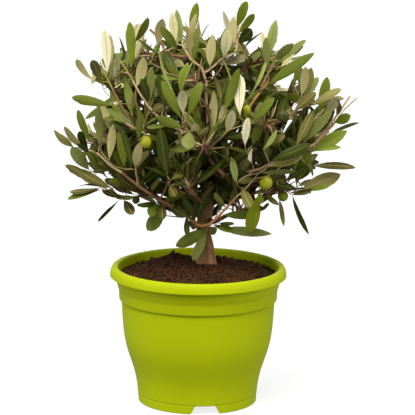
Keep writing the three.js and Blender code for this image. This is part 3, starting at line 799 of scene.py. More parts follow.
def wall_profile():
    """The wall's section as (radius, height), from the foot's inner edge round the lip to the inner floor."""
    foot_edge = 0.7
    outer = [(body_radius(0) - WALL, foot_edge), (body_radius(0) - WALL + foot_edge, 0)]
    outer += [(body_radius(0) - foot_edge, 0), (body_radius(0), foot_edge)]
    outer += [(body_radius(height), height) for height in np.linspace(1.6, FOOT_LINE - 0.5, 10)]
    outer += [(body_radius(FOOT_LINE) - 0.3, FOOT_LINE)]
    seam_top = BAND_BOTTOM - SEAM_HEIGHT
    outer += [(body_radius(height), height) for height in np.linspace(FOOT_LINE + 0.5, seam_top, 50)]
    outer += [(body_radius(seam_top) - SEAM_DEPTH, seam_top + 0.15)]
    top = BAND_RADIUS + BAND_LEAN
    band = rounded(
        [
            (body_radius(seam_top) - SEAM_DEPTH, BAND_BOTTOM),
            (BAND_RADIUS, BAND_BOTTOM + BAND_LEDGE),
            (top - 0.1, BAND_TOP - 1),
        ],
        0.4,
    )
    cove = [
        (top - 0.1, BAND_TOP - 1),
        (top + 0.15, BAND_TOP + 1.2),
        (top + 0.8, BAND_TOP + 3),
        (NECK_RADIUS - 0.3, NECK_HEIGHT - 2),
        (NECK_RADIUS, NECK_HEIGHT),
        (NECK_RADIUS - 0.1, NECK_HEIGHT + 3),
        (NECK_RADIUS - 0.3, LIP_EDGE[1] - 1),
        (NECK_RADIUS, LIP_EDGE[1] + LIP_UNDERCUT),
    ]
    neck = smooth_path([(radius, 0, height) for radius, height in cove], 22)
    band += [(place[0], place[2]) for place in neck[1:]]
    band.append((LIP_EDGE[0] - 1.7, LIP_EDGE[1] + LIP_UNDERCUT))
    shoulder, crest = (np.array(place, float) for place in (LIP_SHOULDER, LIP_CREST))
    roll = [
        LIP_EDGE,
        (LIP_EDGE[0] - 0.15, LIP_EDGE[1] + 2.4),
        shoulder,
        shoulder + (crest - shoulder) * 0.24 + (0.25, 0.9),
        shoulder + (crest - shoulder) * 0.55 + (0.4, 1.2),
        crest,
        (LIP_INNER_RADIUS + 1.4, POT_HEIGHT - 0.5),
        (LIP_INNER_RADIUS + 0.2, POT_HEIGHT - 2.2),
        (LIP_INNER_RADIUS, POT_HEIGHT - 6),
    ]
    smooth = smooth_path([(radius, 0, height) for radius, height in roll], 34)
    lip = [(LIP_EDGE[0] - 0.9, LIP_EDGE[1] + 0.1)]
    lip += [(place[0], min(place[2], POT_HEIGHT)) for place in smooth]
    inner = [(BAND_RADIUS + BAND_LEAN - WALL, BAND_TOP), (BAND_RADIUS - WALL, BAND_BOTTOM + BAND_STEP)]
    inner += [(body_radius(height) - WALL, height) for height in np.linspace(BAND_BOTTOM, 12, 18)]
    inner += [(body_radius(height) - WALL, height) for height in np.linspace(10, 1.6, 8)]
    return outer + band + lip + inner


def notch_lift(x, y):
    """How high the foot is cut away at a place on it."""
    lift = 0.0
    for number in range(NOTCH_COUNT):
        bearing = math.radians(NOTCH_BEARING + 360 * number / NOTCH_COUNT)
        if x * math.cos(bearing) + y * math.sin(bearing) < 0:
            continue
        aside = abs(y * math.cos(bearing) - x * math.sin(bearing))
        slope = (NOTCH_FOOT_WIDTH - NOTCH_TOP_WIDTH) / 2 / NOTCH_HEIGHT
        lift = max(lift, min(NOTCH_HEIGHT, (NOTCH_FOOT_WIDTH / 2 - aside) / slope))
    return lift


def make_pot():
    shape = turned(wall_profile(), POT_COLUMNS, closed=True)
    for vert in shape.verts:
        if vert.co.z < NOTCH_HEIGHT:
            vert.co.z = max(vert.co.z, notch_lift(vert.co.x, vert.co.y))
    bmesh.ops.dissolve_degenerate(shape, edges=shape.edges, dist=0.004)
    bmesh.ops.recalc_face_normals(shape, faces=shape.faces)
    make_piece("pot_wall", shape, [FINISHES["pot"]], ["pot"], crease=34)


def make_pot_floor():
    """The raised floor with its drain holes."""
    shape = bmesh.new()
    radius = body_radius(FLOOR_UNDERSIDE) - WALL + 0.8
    bmesh.ops.create_circle(shape, cap_ends=True, segments=FLOOR_COLUMNS, radius=radius)
    centres = [direction(360 * number / HOLE_COUNT, 0) * HOLE_CIRCLE for number in range(HOLE_COUNT)]
    for number, centre in enumerate(centres):
        for turn in range(2):
            normal = direction(360 * number / HOLE_COUNT + 90 * turn, 0)
            for side in (-1, 1):
                bmesh.ops.bisect_plane(
                    shape,
                    geom=shape.verts[:] + shape.edges[:] + shape.faces[:],
                    plane_co=centre + side * HOLE_RADIUS * normal,
                    plane_no=normal,
                )
    holes = []
    for face in shape.faces:
        middle = np.array(face.calc_center_median())
        for centre in centres:
            away = middle - centre
            if np.abs(away).max() < HOLE_RADIUS * 0.98 and np.linalg.norm(away) < HOLE_RADIUS:
                holes.append(face)
    bmesh.ops.delete(shape, geom=list(set(holes)), context="FACES")
    bmesh.ops.translate(shape, vec=(0, 0, FLOOR_UNDERSIDE), verts=shape.verts)
    bmesh.ops.solidify(shape, geom=shape.faces[:], thickness=-WALL)
    bmesh.ops.recalc_face_normals(shape, faces=shape.faces)
    make_piece("pot_floor", shape, [FINISHES["pot"]], crease=30)


# Soil


def soil_height(x, y, edge):
    """The soil's surface: a mound that falls to the wall, with a heap behind the trunk and crumbs."""
    out = min(1.0, math.hypot(x, y) / edge)
    mound = (SOIL_TOP - SOIL_EDGE) * (1 - out**MOUND_ROUNDNESS)
    heap = HEAP_HEIGHT * math.exp(-((x - HEAP_PLACE[0]) ** 2 + (y - HEAP_PLACE[1]) ** 2) / HEAP_SPREAD**2)
    place = Vector((x, y, 0))
    lumps = 1.5 * noise.fractal(place * 0.07, 0.9, 2.1, 4) + 0.9 * noise.fractal(place * 0.24, 0.7, 2.2, 4)
    crumbs = 0.8 * abs(noise.noise(place * 0.55)) + 0.45 * noise.noise(place * 1.1)
    return SOIL_EDGE + mound + heap * min(1, 4 * (1 - out)) + (lumps + crumbs) * min(1, 0.35 + 5 * (1 - out))


def make_soil():
    """The soil as one body that fills the pot down to its floor."""
    edge = SOIL_RADIUS
    floor = FLOOR_UNDERSIDE + WALL + 0.4
    surface = 1000.0
    profile = [(edge * share, surface) for share in np.linspace(0, 1, SOIL_ROWS)]
    profile += [(body_radius(height) - WALL + 0.2, height) for height in np.linspace(BAND_BOTTOM, floor, 8)]
    profile += [(radius, floor) for radius in (45, 20, 0)]
    shape = turned(profile, SOIL_COLUMNS)
    for vert in shape.verts:
        if vert.co.z == surface:
            vert.co.z = soil_height(vert.co.x, vert.co.y, edge)
    bmesh.ops.recalc_face_normals(shape, faces=shape.faces)
    make_piece("soil_mound", shape, [FINISHES["soil"]], ["soil"])


def make_crumbs():
    """Loose crumbs of soil that lie on the mound."""
    chance = np.random.default_rng(CRUMB_SEED)
    shape = bmesh.new()
    bmesh.ops.create_icosphere(shape, subdivisions=2, radius=1)
    blank = Blank(shape)
    edge = SOIL_RADIUS - 0.6
    trunk = np.array(TRUNK_POINTS[0][:2], float)
    copies = []
    while len(copies) < CRUMB_COUNT:
        out = edge * math.sqrt(chance.random()) * 0.985
        turn = chance.random() * math.tau
        spot = np.array([out * math.cos(turn), out * math.sin(turn)])
        size = 0.7 + 1.9 * chance.random() ** 3
        if np.linalg.norm(spot - trunk) < TRUNK_FOOT_RADIUS + ROOT_FLARE + size or out + size > edge:
            continue
        stretch = 1 + 0.5 * (chance.random(3) - 0.5)
        shift = Vector((len(copies), 0, 0))
        lumpy = [0.72 + 0.75 * noise.noise(Vector(place) * 1.3 + shift) for place in blank.places]
        height = soil_height(*spot, SOIL_RADIUS) + 0.35 * size
        copies.append(blank.places * stretch * size * np.array(lumpy)[:, None] + (*spot, height))
    tones = np.zeros((len(copies), len(blank.sides)))
    mesh = blank.joined("soil_crumbs", np.array(copies), tones)
    make_piece("soil_crumbs", mesh, [FINISHES["soil"]])


# Wood


def trunk_radius(share):
    height = share * (TRUNK_POINTS[-1][2] - TRUNK_POINTS[0][2])
    flare = ROOT_FLARE * math.exp(-height / FLARE_HEIGHT)
    return TRUNK_FOOT_RADIUS + (TRUNK_FORK_RADIUS - TRUNK_FOOT_RADIUS) * share + flare


def trunk_relief(turn, place):
    """Long shallow furrows, knuckles where shoots were cut off, and a fluted foot."""
    round_it = Vector((math.cos(turn), math.sin(turn), 0))
    along = Vector((0, 0, place[2]))
    furrows = noise.fractal(round_it * 2.6 + along * 0.035, 0.8, 2.0, 4)
    knuckles = max(0.0, noise.noise(round_it * 1.1 + along * 0.05 + Vector((7, 2, 1))) - 0.25)
    flutes = 0.9 * math.cos(4 * turn + 0.8) * math.exp(-(place[2] - SOIL_TOP) / FLARE_HEIGHT)
    fine = noise.noise(round_it * 7 + along * 0.16)
    return 0.75 * furrows + 2.4 * knuckles + min(1.5, flutes) + 0.16 * fine


def bough_relief(turn, place):
    place = Vector(place)
    round_it = Vector((math.cos(turn), math.sin(turn), 0))
    return 0.22 * noise.fractal(round_it * 1.6 + place * 0.11, 0.8, 2.0, 3)


def tapering(radii):
    return lambda share: radii[0] + (radii[1] - radii[0]) * share


def mass_centre(mass):
    return CROWN_CENTRE + direction(mass.bearing, mass.rise) * mass.out


def bough_points(name, mass, parents):
    """A bough's foot on its parent limb, its bend and its end, from its solid in the frame."""
    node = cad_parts["bough_" + name]
    corners = np.array([tuple(vert.co) for vert in node.data.vertices]) / MM
    away = np.linalg.norm(corners - mass_centre(mass), axis=1)
    order = np.argsort(away)
    end = corners[away < away[order[0]] + END_ZONE].mean(axis=0)
    cut = corners[away > away[order[-1]] - CUT_ZONE].mean(axis=0)
    foot = parents[np.argmin(np.linalg.norm(parents - cut, axis=1))]
    spread = np.linalg.norm(corners - foot, axis=1)
    halfway = 0.5 * np.linalg.norm(end - foot)
    near = np.argsort(np.abs(spread - halfway))[:BEND_CORNERS]
    bend = corners[near].mean(axis=0)
    return [foot, bend, end]


class Plant:
    """The wood that twigs grow from, and the twigs and leaves of each mass."""

    def __init__(self):
        self.places = np.zeros((0, 3))
        self.ways = np.zeros((0, 3))
        self.thickness = np.zeros(0)
        self.twigs = {name: [] for name in MASSES}
        self.leaves = {name: [] for name in MASSES}

    def add_wood(self, path, radii):
        self.places = np.vstack([self.places, path])
        self.ways = np.vstack([self.ways, unit(np.gradient(path, axis=0))])
        self.thickness = np.concatenate([self.thickness, np.linspace(*radii, len(path))])

    def nearest_mass(self, place):
        """The mass in which a place lies deepest."""

        def depth(name):
            mass = MASSES[name]
            return np.linalg.norm(place - mass_centre(mass)) / mass.size

        return min(MASSES, key=depth)

    def foothold(self, place, heading):
        """The wood from which a twig can reach a place while it heads the given way."""
        towards = place - self.places
        length = np.linalg.norm(towards, axis=1)
        along = np.einsum("ij,ij->i", towards, self.ways)
        agreement = (towards @ heading + 0.6 * along) / (1.6 * length + 1e-6)
        cost = length * (1.75 - agreement) + 0.5
        return int(np.argmin(cost))

    def grow(self, points, radii, tone, mass=None):
        """Adds a twig along the given places and returns its path."""
        path = smooth_path(points, TWIG_RINGS)
        name = mass or self.nearest_mass(path[-1])
        self.twigs[name].append((path, radii, tone))
        finer = smooth_path(path, max(3, int(np.linalg.norm(path[-1] - path[0]) / 3)))
        self.add_wood(finer, radii)
        return path

    def spur(self, place, heading, tone):
        """A short twig from the nearest wood to a leaf's foot."""
        start = self.foothold(place, heading)
        foot = self.places[start]
        length = np.linalg.norm(place - foot)
        if length < 1.2:
            return
        thickness = min(0.95, 0.7 * self.thickness[start])
        lift = foot + 0.5 * (place - foot) + 0.14 * length * (self.ways[start] - heading * 0.5)
        self.grow([foot, lift, place], (thickness, max(0.5, 0.65 * thickness)), tone)

    def set_leaf(self, leaf):
        middle = leaf["foot"] + 0.5 * leaf["length"] * leaf["ahead"]
        self.leaves[self.nearest_mass(middle)].append(leaf)


# Crown


def reach_towards(x, y):
    """How far leaves reach from the crown's middle towards a pixel."""
    turn = (math.degrees(math.atan2(CROWN_PIXEL[1] - y, x - CROWN_PIXEL[0])) % 360) / OUTLINE_STEP
    return np.interp(turn, range(len(OUTLINE_REACH) + 1), OUTLINE_REACH + OUTLINE_REACH[:1])


def front_depth(x, y):
    """How far in front of the trunk the leaves' feet lie at a pixel."""
    out = math.hypot(x - CROWN_PIXEL[0], y - CROWN_PIXEL[1]) / (reach_towards(x, y) - OUTER_LEAF)
    return max(LEAST_DEPTH, FRONT_DEPTH * math.sqrt(max(0.0, 1 - out * out)))


def make_leaf(foot, ahead, upper, length, width, tone, under, chance):
    """One leaf's measures. ahead is its direction and upper is what its green side faces."""
    return {
        "foot": foot,
        "ahead": unit(ahead),
        "upper": upper,
        "length": length,
        "width": width,
        "bend": float(np.clip(chance.normal(-0.12, 0.3), -0.5, 0.4)),
        "sway": chance.normal(0, 0.16),
        "twist": chance.normal(0, 0.4),
        "fold": chance.uniform(0.08, 0.42),
        "blunt": chance.random(),
        "tone": LEAF_TONES.index(tone),
        "under": LEAF_TONES.index(under),
    }


def leaf_tip(foot, x, y, depth, forwards):
    """A leaf's tip at a pixel. A leaf that shows short leans forwards (1) or back (-1)."""
    shown = np.linalg.norm(seen(x, y, depth) - foot)
    lean = math.sqrt(max(0.0, SHORTEST_LEAF**2 - shown**2))
    return seen(x, y, depth + forwards * lean)


def place_seen_leaf(plant, row, chance):
    """A leaf that the photograph shows. Blur makes it look shorter and narrower there by EDGE_BLUR pixels."""
    tip_x, tip_y, foot_x, foot_y, width, tone, layer = row
    depth = front_depth(foot_x, foot_y) - LAYER_STEP * layer
    foot = seen(foot_x, foot_y, depth)
    blur = EDGE_BLUR * unit([tip_x - foot_x, tip_y - foot_y])
    tip = leaf_tip(foot, tip_x + blur[0], tip_y + blur[1], depth, 1 if layer == 0 else -1)
    ahead = unit(tip - foot)
    length = np.linalg.norm(tip - foot)
    shown_width = (width + EDGE_BLUR) * PIXEL_SIZE
    full_width = max(LEAF_WIDTH * chance.uniform(0.86, 1.0), shown_width)
    tilt = math.acos(min(1.0, shown_width / full_width))
    facing = CAMERA_PLACE - foot
    facing = unit(facing - (facing @ ahead) * ahead)
    aside = np.cross(ahead, facing)
    turn = tilt if chance.random() < 0.5 else -tilt
    upper = facing * math.cos(turn) + aside * math.sin(turn)
    if tone in UPPER_TONES:
        pair = (tone, UNDER_OF[tone])
    else:
        upper = -upper
        pair = (UPPER_OF[tone], tone)
    leaf = make_leaf(foot, ahead, upper, length, full_width, *pair, chance)
    leaf["twist"] *= 0.6
    leaf["bend"] *= 0.7
    side = np.cross(upper, ahead)
    leaf["ahead"] = unit(ahead - upper * math.sin(leaf["bend"] / 2) - side * math.sin(leaf["sway"] / 2))
    plant.set_leaf(leaf)
    plant.spur(foot, ahead, "tan" if chance.random() < 0.5 else "green")


def place_leaf_behind(plant, row, chance):
    """A leaf further back that one of the outline's leaves hides, so that the crown is as high all round."""
    tip_x, tip_y, foot_x, foot_y, width, tone = row[:6]
    if width < NARROWEST_BEHIND or tip_y > LOWEST_BEHIND or outline_reach(tip_x, tip_y) < OUTER_SHARE:
        return
    depth = front_depth(foot_x, foot_y) * chance.uniform(*BEHIND_DEPTHS)
    foot = seen(foot_x, foot_y, depth)
    end_x = foot_x + BEHIND_SHARE * (tip_x - foot_x)
    end_y = foot_y + BEHIND_SHARE * (tip_y - foot_y)
    tip = leaf_tip(foot, end_x, end_y, depth, -1)
    ahead = unit(tip - foot)
    upper = np.cross(ahead, chance.normal(0, 1, 3))
    upper_tone = tone if tone in UPPER_TONES else UPPER_OF[tone]
    pair = (upper_tone, UNDER_OF[upper_tone])
    broad = LEAF_WIDTH * chance.uniform(0.75, 0.95)
    leaf = make_leaf(foot, ahead, unit(upper), np.linalg.norm(tip - foot), broad, *pair, chance)
    leaf["bend"] *= 0.4
    leaf["sway"] *= 0.4
    plant.set_leaf(leaf)
    plant.spur(foot, ahead, "tan")


def outline_reach(x, y):
    """How far out of the crown's middle a pixel is, where 1 is the outline."""
    return math.hypot(x - CROWN_PIXEL[0], y - CROWN_PIXEL[1]) / reach_towards(x, y)


def covers_sky(x, y, margin):
    """Whether a pixel lies in or close to a gap that the photograph shows."""
    return any(math.hypot(x - gap[0], y - gap[1]) < gap[2] + margin for gap in OPEN_SKY)


def twig_sights():
    """Points along the twigs that show, as pixels with the distance in front of the trunk."""
    shares = np.linspace(0, 1, 12)[:, None]
    rows = []
    for twig in SEEN_TWIGS:
        places = twig[-1]
        for start, end in zip(places, places[1:]):
            rows.append(np.array(start) + shares * (np.array(end, float) - np.array(start)))
    return np.vstack(rows)


TWIG_SIGHTS = twig_sights()


def hides_twig(x, y, depth):
    """Whether a leaf at a pixel stands in front of a twig that shows."""
    near = np.hypot(TWIG_SIGHTS[:, 0] - x, TWIG_SIGHTS[:, 1] - y) < TWIG_CLEARANCE
    return bool(np.any(near & (TWIG_SIGHTS[:, 2] < depth)))


def has_room(place, mass, margin=SKY_MARGIN):
    """Whether a leaf may cover a place: behind the leaves that show, inside the outline and off the gaps."""
    x, y = pixel_of(place)
    if outline_reach(x, y) > OUTER_SHARE or covers_sky(x, y, margin):
        return False
    if -place[1] > front_depth(x, y) - BEHIND_FRONT or hides_twig(x, y, -place[1]):
        return False
    if np.linalg.norm(place - CROWN_CENTRE) > mass.reach + REACH_MARGIN:
        return False
    return place[2] > LOWEST_LEAF


def fits(foot, reach, mass):
    """Whether a leaf from its foot has room along its whole length."""
    return all(has_room(foot + reach * part, mass) for part in LEAF_CHECKS)


def pulled_in(target, mass):
    """A shoot's end, drawn towards the crown's middle until it has room."""
    for _ in range(PULL_STEPS):
        if has_room(target, mass, 0):
            break
        target = CROWN_CENTRE + PULL_SHARE * (target - CROWN_CENTRE)
    return target


def leafy_shoot(plant, name, points, radii, tone, chance, bare=0.25):
    """A shoot with leaves in crossed pairs, the last ones at its tip."""
    mass = MASSES[name]
    if not has_room(points[-1], mass, 0):
        return
    path = plant.grow(points, radii, tone, name)
    fine = smooth_path(path, SHOOT_STEPS)
    ahead, across, beside = path_frames(fine)
    length = np.linalg.norm(np.diff(fine, axis=0), axis=1).sum()
    height = (fine[-1][2] - SHADE_FLOOR) / SHADE_RISE
    outer = np.linalg.norm(fine[-1] - CROWN_CENTRE) / SHADE_REACH
    pairs = max(2, round(length * (1 - bare) / PAIR_SPACING))
    spray = chance.random()
    start_turn = chance.random() * math.pi
    for number in range(pairs + 1):
        share = bare + (1 - bare) * number / pairs
        spot = round((SHOOT_STEPS - 1) * share)
        spread = math.radians(chance.normal(LEAF_SPREAD - SPREAD_FALL * share, SPREAD_VARIES))
        last = number == pairs
        size = (0.72 if last else 0.86 + 0.2 * math.sin(math.pi * share)) * chance.uniform(0.85, 1.12)
        for side in (0, 1):
            turn = start_turn + number * math.pi / 2 + side * math.pi + chance.normal(0, 0.2)
            out = math.cos(turn) * across[spot] + math.sin(turn) * beside[spot]
            way = unit(ahead[spot] * math.cos(spread) + out * math.sin(spread) + np.array([0, 0, 0.22]))
            long = LEAF_LENGTH * size
            foot = fine[spot]
            ways = [way, unit(way * FLATTER)] if chance.random() < 0.5 else [way]
            way = next((way for way in ways if fits(foot, way * long, mass)), None)
            if way is None:
                continue
            upper = ahead[spot] * math.sin(spread) - out * math.cos(spread) + 0.35 * chance.normal(0, 1, 3)
            # Painted light and shade: leaves high and far out get paler tones, those low and near the middle
            # darker ones
            dark = 1.2 - 0.7 * height - 0.55 * outer
            pick = 0.6 * spray + 0.4 * chance.random()
            top = next(tone for tone, most in UPPER_SHARES if pick < dark + most)
            pale = 0.5 * spray + 0.5 * chance.random() + 0.7 * (height - 0.5) + 0.5 * (outer - 0.8)
            under = next(tone for tone, most in UNDER_SHARES if pale < most)
            plant.set_leaf(make_leaf(foot, way, upper, long, LEAF_WIDTH * size**0.5, top, under, chance))


def fill_mass(plant, name, end, number):
    """Shoots that grow on from a bough and fill its mass."""
    chance = np.random.default_rng(MASS_SEED + number)
    mass = MASSES[name]
    centre = mass_centre(mass)
    outwards = direction(mass.bearing, mass.rise)
    size = mass.size
    tip = pulled_in(centre + outwards * size * 0.42 + np.array([0, 0, 0.1 * size]), mass)
    middle = centre - outwards * size * 0.15 + chance.normal(0, 2.5, 3)
    leafy_shoot(plant, name, [end, middle, tip], SPINE_RADII, "red", chance, bare=0.2)
    spine = smooth_path([end, middle, tip], SPINE_STEPS)
    for _ in range(round(SHOOTS_ON_LARGE_MASS * (size / LARGE_MASS) ** 2)):
        start = spine[int(chance.uniform(0, LAST_SPINE_START))]
        way = unit(chance.normal(0, 1, 3) + 0.75 * outwards + np.array([0, 0, 0.4]))
        target = pulled_in(centre + way * size * chance.uniform(0.3, 0.66), mass)
        sag = 0.8 * outwards - way + np.array([0, 0, -0.3])
        knee = start + 0.5 * (target - start) + 0.16 * np.linalg.norm(target - start) * sag
        tone = ["red", "tan", "dark", "red"][int(chance.integers(4))]
        leafy_shoot(plant, name, [start, knee, target], SHOOT_RADII, tone, chance)


def fill_inside(plant):
    """Shorter, shaded shoots along the boughs."""
    chance = np.random.default_rng(INNER_SEED)
    fork = np.array(TRUNK_POINTS[-1], float)
    inside = np.linalg.norm(plant.places - CROWN_CENTRE, axis=1) < INNER_REACH
    starts = plant.places[inside & (plant.places[:, 2] > LOWEST_INNER_SHOOT)]
    rear = starts[starts[:, 1] > REAR_START]
    for shoot in range(INNER_SHOOTS):
        pool = rear if shoot % 4 == 0 else starts
        start = pool[int(chance.integers(len(pool)))]
        way = unit(unit(start - fork) + 0.7 * chance.normal(0, 1, 3) + np.array([0, 0, 0.45]))
        length = chance.uniform(*INNER_LENGTHS)
        target = start + way * length
        knee = start + 0.5 * (target - start) + np.array([0, 0, -0.1 * length])
        tone = ["red", "dark"][int(chance.integers(2))]
        name = plant.nearest_mass(target)
        leafy_shoot(plant, name, [start, knee, target], INNER_RADII, tone, chance, bare=0.15)


# Leaves and twigs


def leaf_blank():
    """A flat closed leaf: x counts the shares of its length, y its columns, z is 1 above and -1 below."""
    steps = len(LEAF_SHARES) - 1
    strips = len(LEAF_COLUMNS) - 1
    shape = bmesh.new()
    for height in (1, -1):
        made = bmesh.ops.create_grid(shape, x_segments=steps, y_segments=strips, size=1)
        bmesh.ops.scale(shape, vec=(steps / 2, strips / 2, 1), verts=made["verts"])
        bmesh.ops.translate(shape, vec=(steps / 2, strips / 2, height), verts=made["verts"])
        if height < 0:
            faces = list({face for vert in made["verts"] for face in vert.link_faces})
            bmesh.ops.reverse_faces(shape, faces=faces)
    for vert in shape.verts:
        row = round(vert.co.x)
        if row in (0, steps):
            vert.co = Vector((row, strips / 2, 0))
        elif round(vert.co.y) in (0, strips):
            vert.co.z = 0
    for face in shape.faces:
        middle = face.calc_center_median()
        on_rib = abs(middle.y - strips / 2) < 0.4
        face.material_index = (2 if middle.z < 0 else 0) + (1 if on_rib else 0)
    bmesh.ops.remove_doubles(shape, verts=shape.verts, dist=0.001)
    return Blank(shape)


def leaf_places(blank, leaves):
    """The vertices of every leaf of a mass, (leaf, vertex, 3)."""
    column = {key: np.array([leaf[key] for leaf in leaves]) for key in leaves[0]}
    ahead = unit(column["ahead"])
    upper = column["upper"] - np.einsum("ij,ij->i", column["upper"], ahead)[:, None] * ahead
    upper = unit(upper)
    side = np.cross(upper, ahead)
    shares = LEAF_SHARES[None, :]
    bend = column["bend"][:, None] * shares * 1.6
    sway = column["sway"][:, None] * shares
    way = unit(np.stack([np.cos(bend) * np.cos(sway), np.sin(sway), np.sin(bend)], axis=-1))
    stretches = np.diff(LEAF_SHARES)[None, :, None] * column["length"][:, None, None]
    steps = stretches * (way[:, 1:] + way[:, :-1]) / 2
    spine = np.concatenate([np.zeros_like(way[:, :1]), np.cumsum(steps, axis=1)], axis=1)
    normal = np.stack([-np.sin(bend), np.zeros_like(bend), np.cos(bend)], axis=-1)
    normal = unit(normal - np.einsum("ijk,ijk->ij", normal, way)[..., None] * way)
    across = np.cross(normal, way)
    turn = (column["twist"][:, None] * (shares - 0.3))[..., None]
    face_normal = normal * np.cos(turn) + across * np.sin(turn)
    face_across = across * np.cos(turn) - normal * np.sin(turn)

    rows = np.rint(blank.places[:, 0]).astype(int)
    columns = LEAF_COLUMNS[np.rint(blank.places[:, 1]).astype(int) % len(LEAF_COLUMNS)]
    columns = np.where(np.abs(blank.places[:, 1] - 2.5) < 0.01, 0, columns)
    blunt = column["blunt"][:, None]
    widths = (POINTED_WIDTHS * (1 - blunt) + BLUNT_WIDTHS * blunt)[:, rows] * column["width"][:, None] / 2
    out = columns[None, :] * widths
    waves = 0.05 * np.sin(11 * LEAF_SHARES[rows][None, :] + 9 * blunt + 2 * columns[None, :])
    fold = np.abs(columns) * np.tan(column["fold"])[:, None]
    lift = widths * (fold - 0.22 * columns**2 + waves * np.abs(columns))
    lift = lift + np.sign(blank.places[:, 2])[None, :] * LEAF_THICKNESS / 2
    local = spine[:, rows] + face_across[:, rows] * out[..., None] + face_normal[:, rows] * lift[..., None]
    axes = np.stack([ahead, side, upper], axis=1)
    return column["foot"][:, None, :] + np.einsum("ivk,ikc->ivc", local, axes)


def make_leaves(plant):
    blank = leaf_blank()
    rib = np.array([[LEAF_TONES.index("rib")]])
    under_rib = np.array([[LEAF_TONES.index("under_rib")]])
    for name, leaves in plant.leaves.items():
        places = leaf_places(blank, leaves)
        tone = np.array([leaf["tone"] for leaf in leaves])[:, None]
        under = np.array([leaf["under"] for leaf in leaves])[:, None]
        parts = blank.parts[None, :]
        tones = np.choose(parts, [tone, rib, under, under_rib])
        mesh = blank.joined(name + "_leaves", places, tones)
        finishes = [LEAF_FINISHES[key] for key in LEAF_TONES]
        make_piece(name + "_leaves", mesh, finishes, ["foliage_" + name], crease=70)


def rod_places(blank, path, ring_radii, uneven=0.0):
    """The vertices of a thin rod bent along a path, with a radius for each of its rings."""
    rings = np.rint(blank.places[:, 2] * (TWIG_RINGS - 1)).astype(int)
    turns = np.arctan2(blank.places[:, 1], blank.places[:, 0])
    _, across, beside = path_frames(path)
    radius = ring_radii[rings] * (1 + uneven * np.sin(5 * rings + 3 * turns))
    round_it = across[rings] * np.cos(turns)[:, None] + beside[rings] * np.sin(turns)[:, None]
    return path[rings] + round_it * radius[:, None]


def make_twigs(plant):
    blank = Blank(rod(TWIG_RINGS, TWIG_SIDES))
    green = TWIG_TONES.index("green")
    for name, twigs in plant.twigs.items():
        places = []
        tones = []
        for path, radii, tone in twigs:
            places.append(rod_places(blank, path, np.linspace(*radii, TWIG_RINGS), 0.1))
            young = (blank.middles[:, 2] > 0.8) & (radii[1] < 0.9)
            tones.append(np.where(young, green, TWIG_TONES.index(tone)))
        mesh = blank.joined(name + "_twigs", np.array(places), np.array(tones))
        make_piece(name + "_twigs", mesh, [TWIG_FINISHES[key] for key in TWIG_TONES], crease=80)


# Olives


def olive_blank():
    shape = bmesh.new()
    bmesh.ops.create_uvsphere(shape, u_segments=20, v_segments=14, radius=1)
    for vert in shape.verts:
        pointed = 1 + 0.05 * max(0.0, -vert.co.z) ** 3
        vert.co.z *= pointed
        dimple = math.hypot(vert.co.x, vert.co.y)
        if vert.co.z > 0.8:
            vert.co.z -= 0.1 * max(0.0, 1 - dimple / 0.35)
    return Blank(shape)


def hang_olive(plant, place, height, chance):
    """The axis of an olive and the path of its stalk."""
    foothold = plant.foothold(place + np.array([0, 0, 0.6 * height]), np.array([0, 0, -0.4]))
    foot = plant.places[foothold]
    sway = 0.35 * chance.normal(0, 1, 3) * (1, 1, 0.2)
    axis = unit(np.array([0, 0, 1.0]) + sway + 0.3 * unit(foot - place))
    top = place + axis * height * 0.45
    knee = top + axis * 3 + 0.35 * (foot - top)
    return axis, [foot, knee, top]


def make_olives(plant):
    chance = np.random.default_rng(OLIVE_SEED)
    blank = olive_blank()
    rows = []
    for x, y, width, height, tone in SEEN_OLIVES:
        place = seen(x, y, front_depth(x, y) - OLIVE_BEHIND)
        rows.append((place, width * OLIVE_SWELL, height * OLIVE_SWELL, tone))
    for number in range(HIDDEN_OLIVES):
        bearing = HIDDEN_BEARING + HIDDEN_SPAN * (number + 0.5) / HIDDEN_OLIVES + chance.normal(0, 6)
        way = direction(bearing, chance.uniform(*HIDDEN_RISES))
        place = CROWN_CENTRE + way * chance.uniform(*HIDDEN_REACH)
        # Painted shade: every third olive on the sides and the back gets the olive_shaded skin
        rows.append((place, *HIDDEN_SIZE, "olive_light" if number % 3 else "olive_shaded"))
    places = []
    tones = []
    stalks = []
    for place, width, height, tone in rows:
        axis, stalk = hang_olive(plant, place, height, chance)
        across = unit(np.cross(axis, (0.2, 0.9, 0.1)))
        beside = np.cross(axis, across)
        x, y, z = (blank.places[:, k][:, None] for k in range(3))
        places.append(place + (across * x + beside * y) * width / 2 + axis * z * height / 2)
        tones.append(np.full(len(blank.sides), 1 if tone == "olive_shaded" else 0))
        stalks.append(stalk)
    mesh = blank.joined("olives", np.array(places), np.array(tones))
    make_piece("olives", mesh, [FINISHES["olive_light"], FINISHES["olive_shaded"]])
    stalk_blank = Blank(rod(TWIG_RINGS, TWIG_SIDES))
    radii = np.concatenate([np.full(TWIG_RINGS - len(STALK_END), STALK_RADIUS), STALK_END])
    stalk_places = [rod_places(stalk_blank, smooth_path(points, TWIG_RINGS), radii) for points in stalks]
    tones = np.zeros((len(stalks), len(stalk_blank.sides)))
    mesh = stalk_blank.joined("olive_stalks", np.array(stalk_places), tones)
    make_piece("olive_stalks", mesh, [TWIG_FINISHES["green"]], crease=80)


# Tree


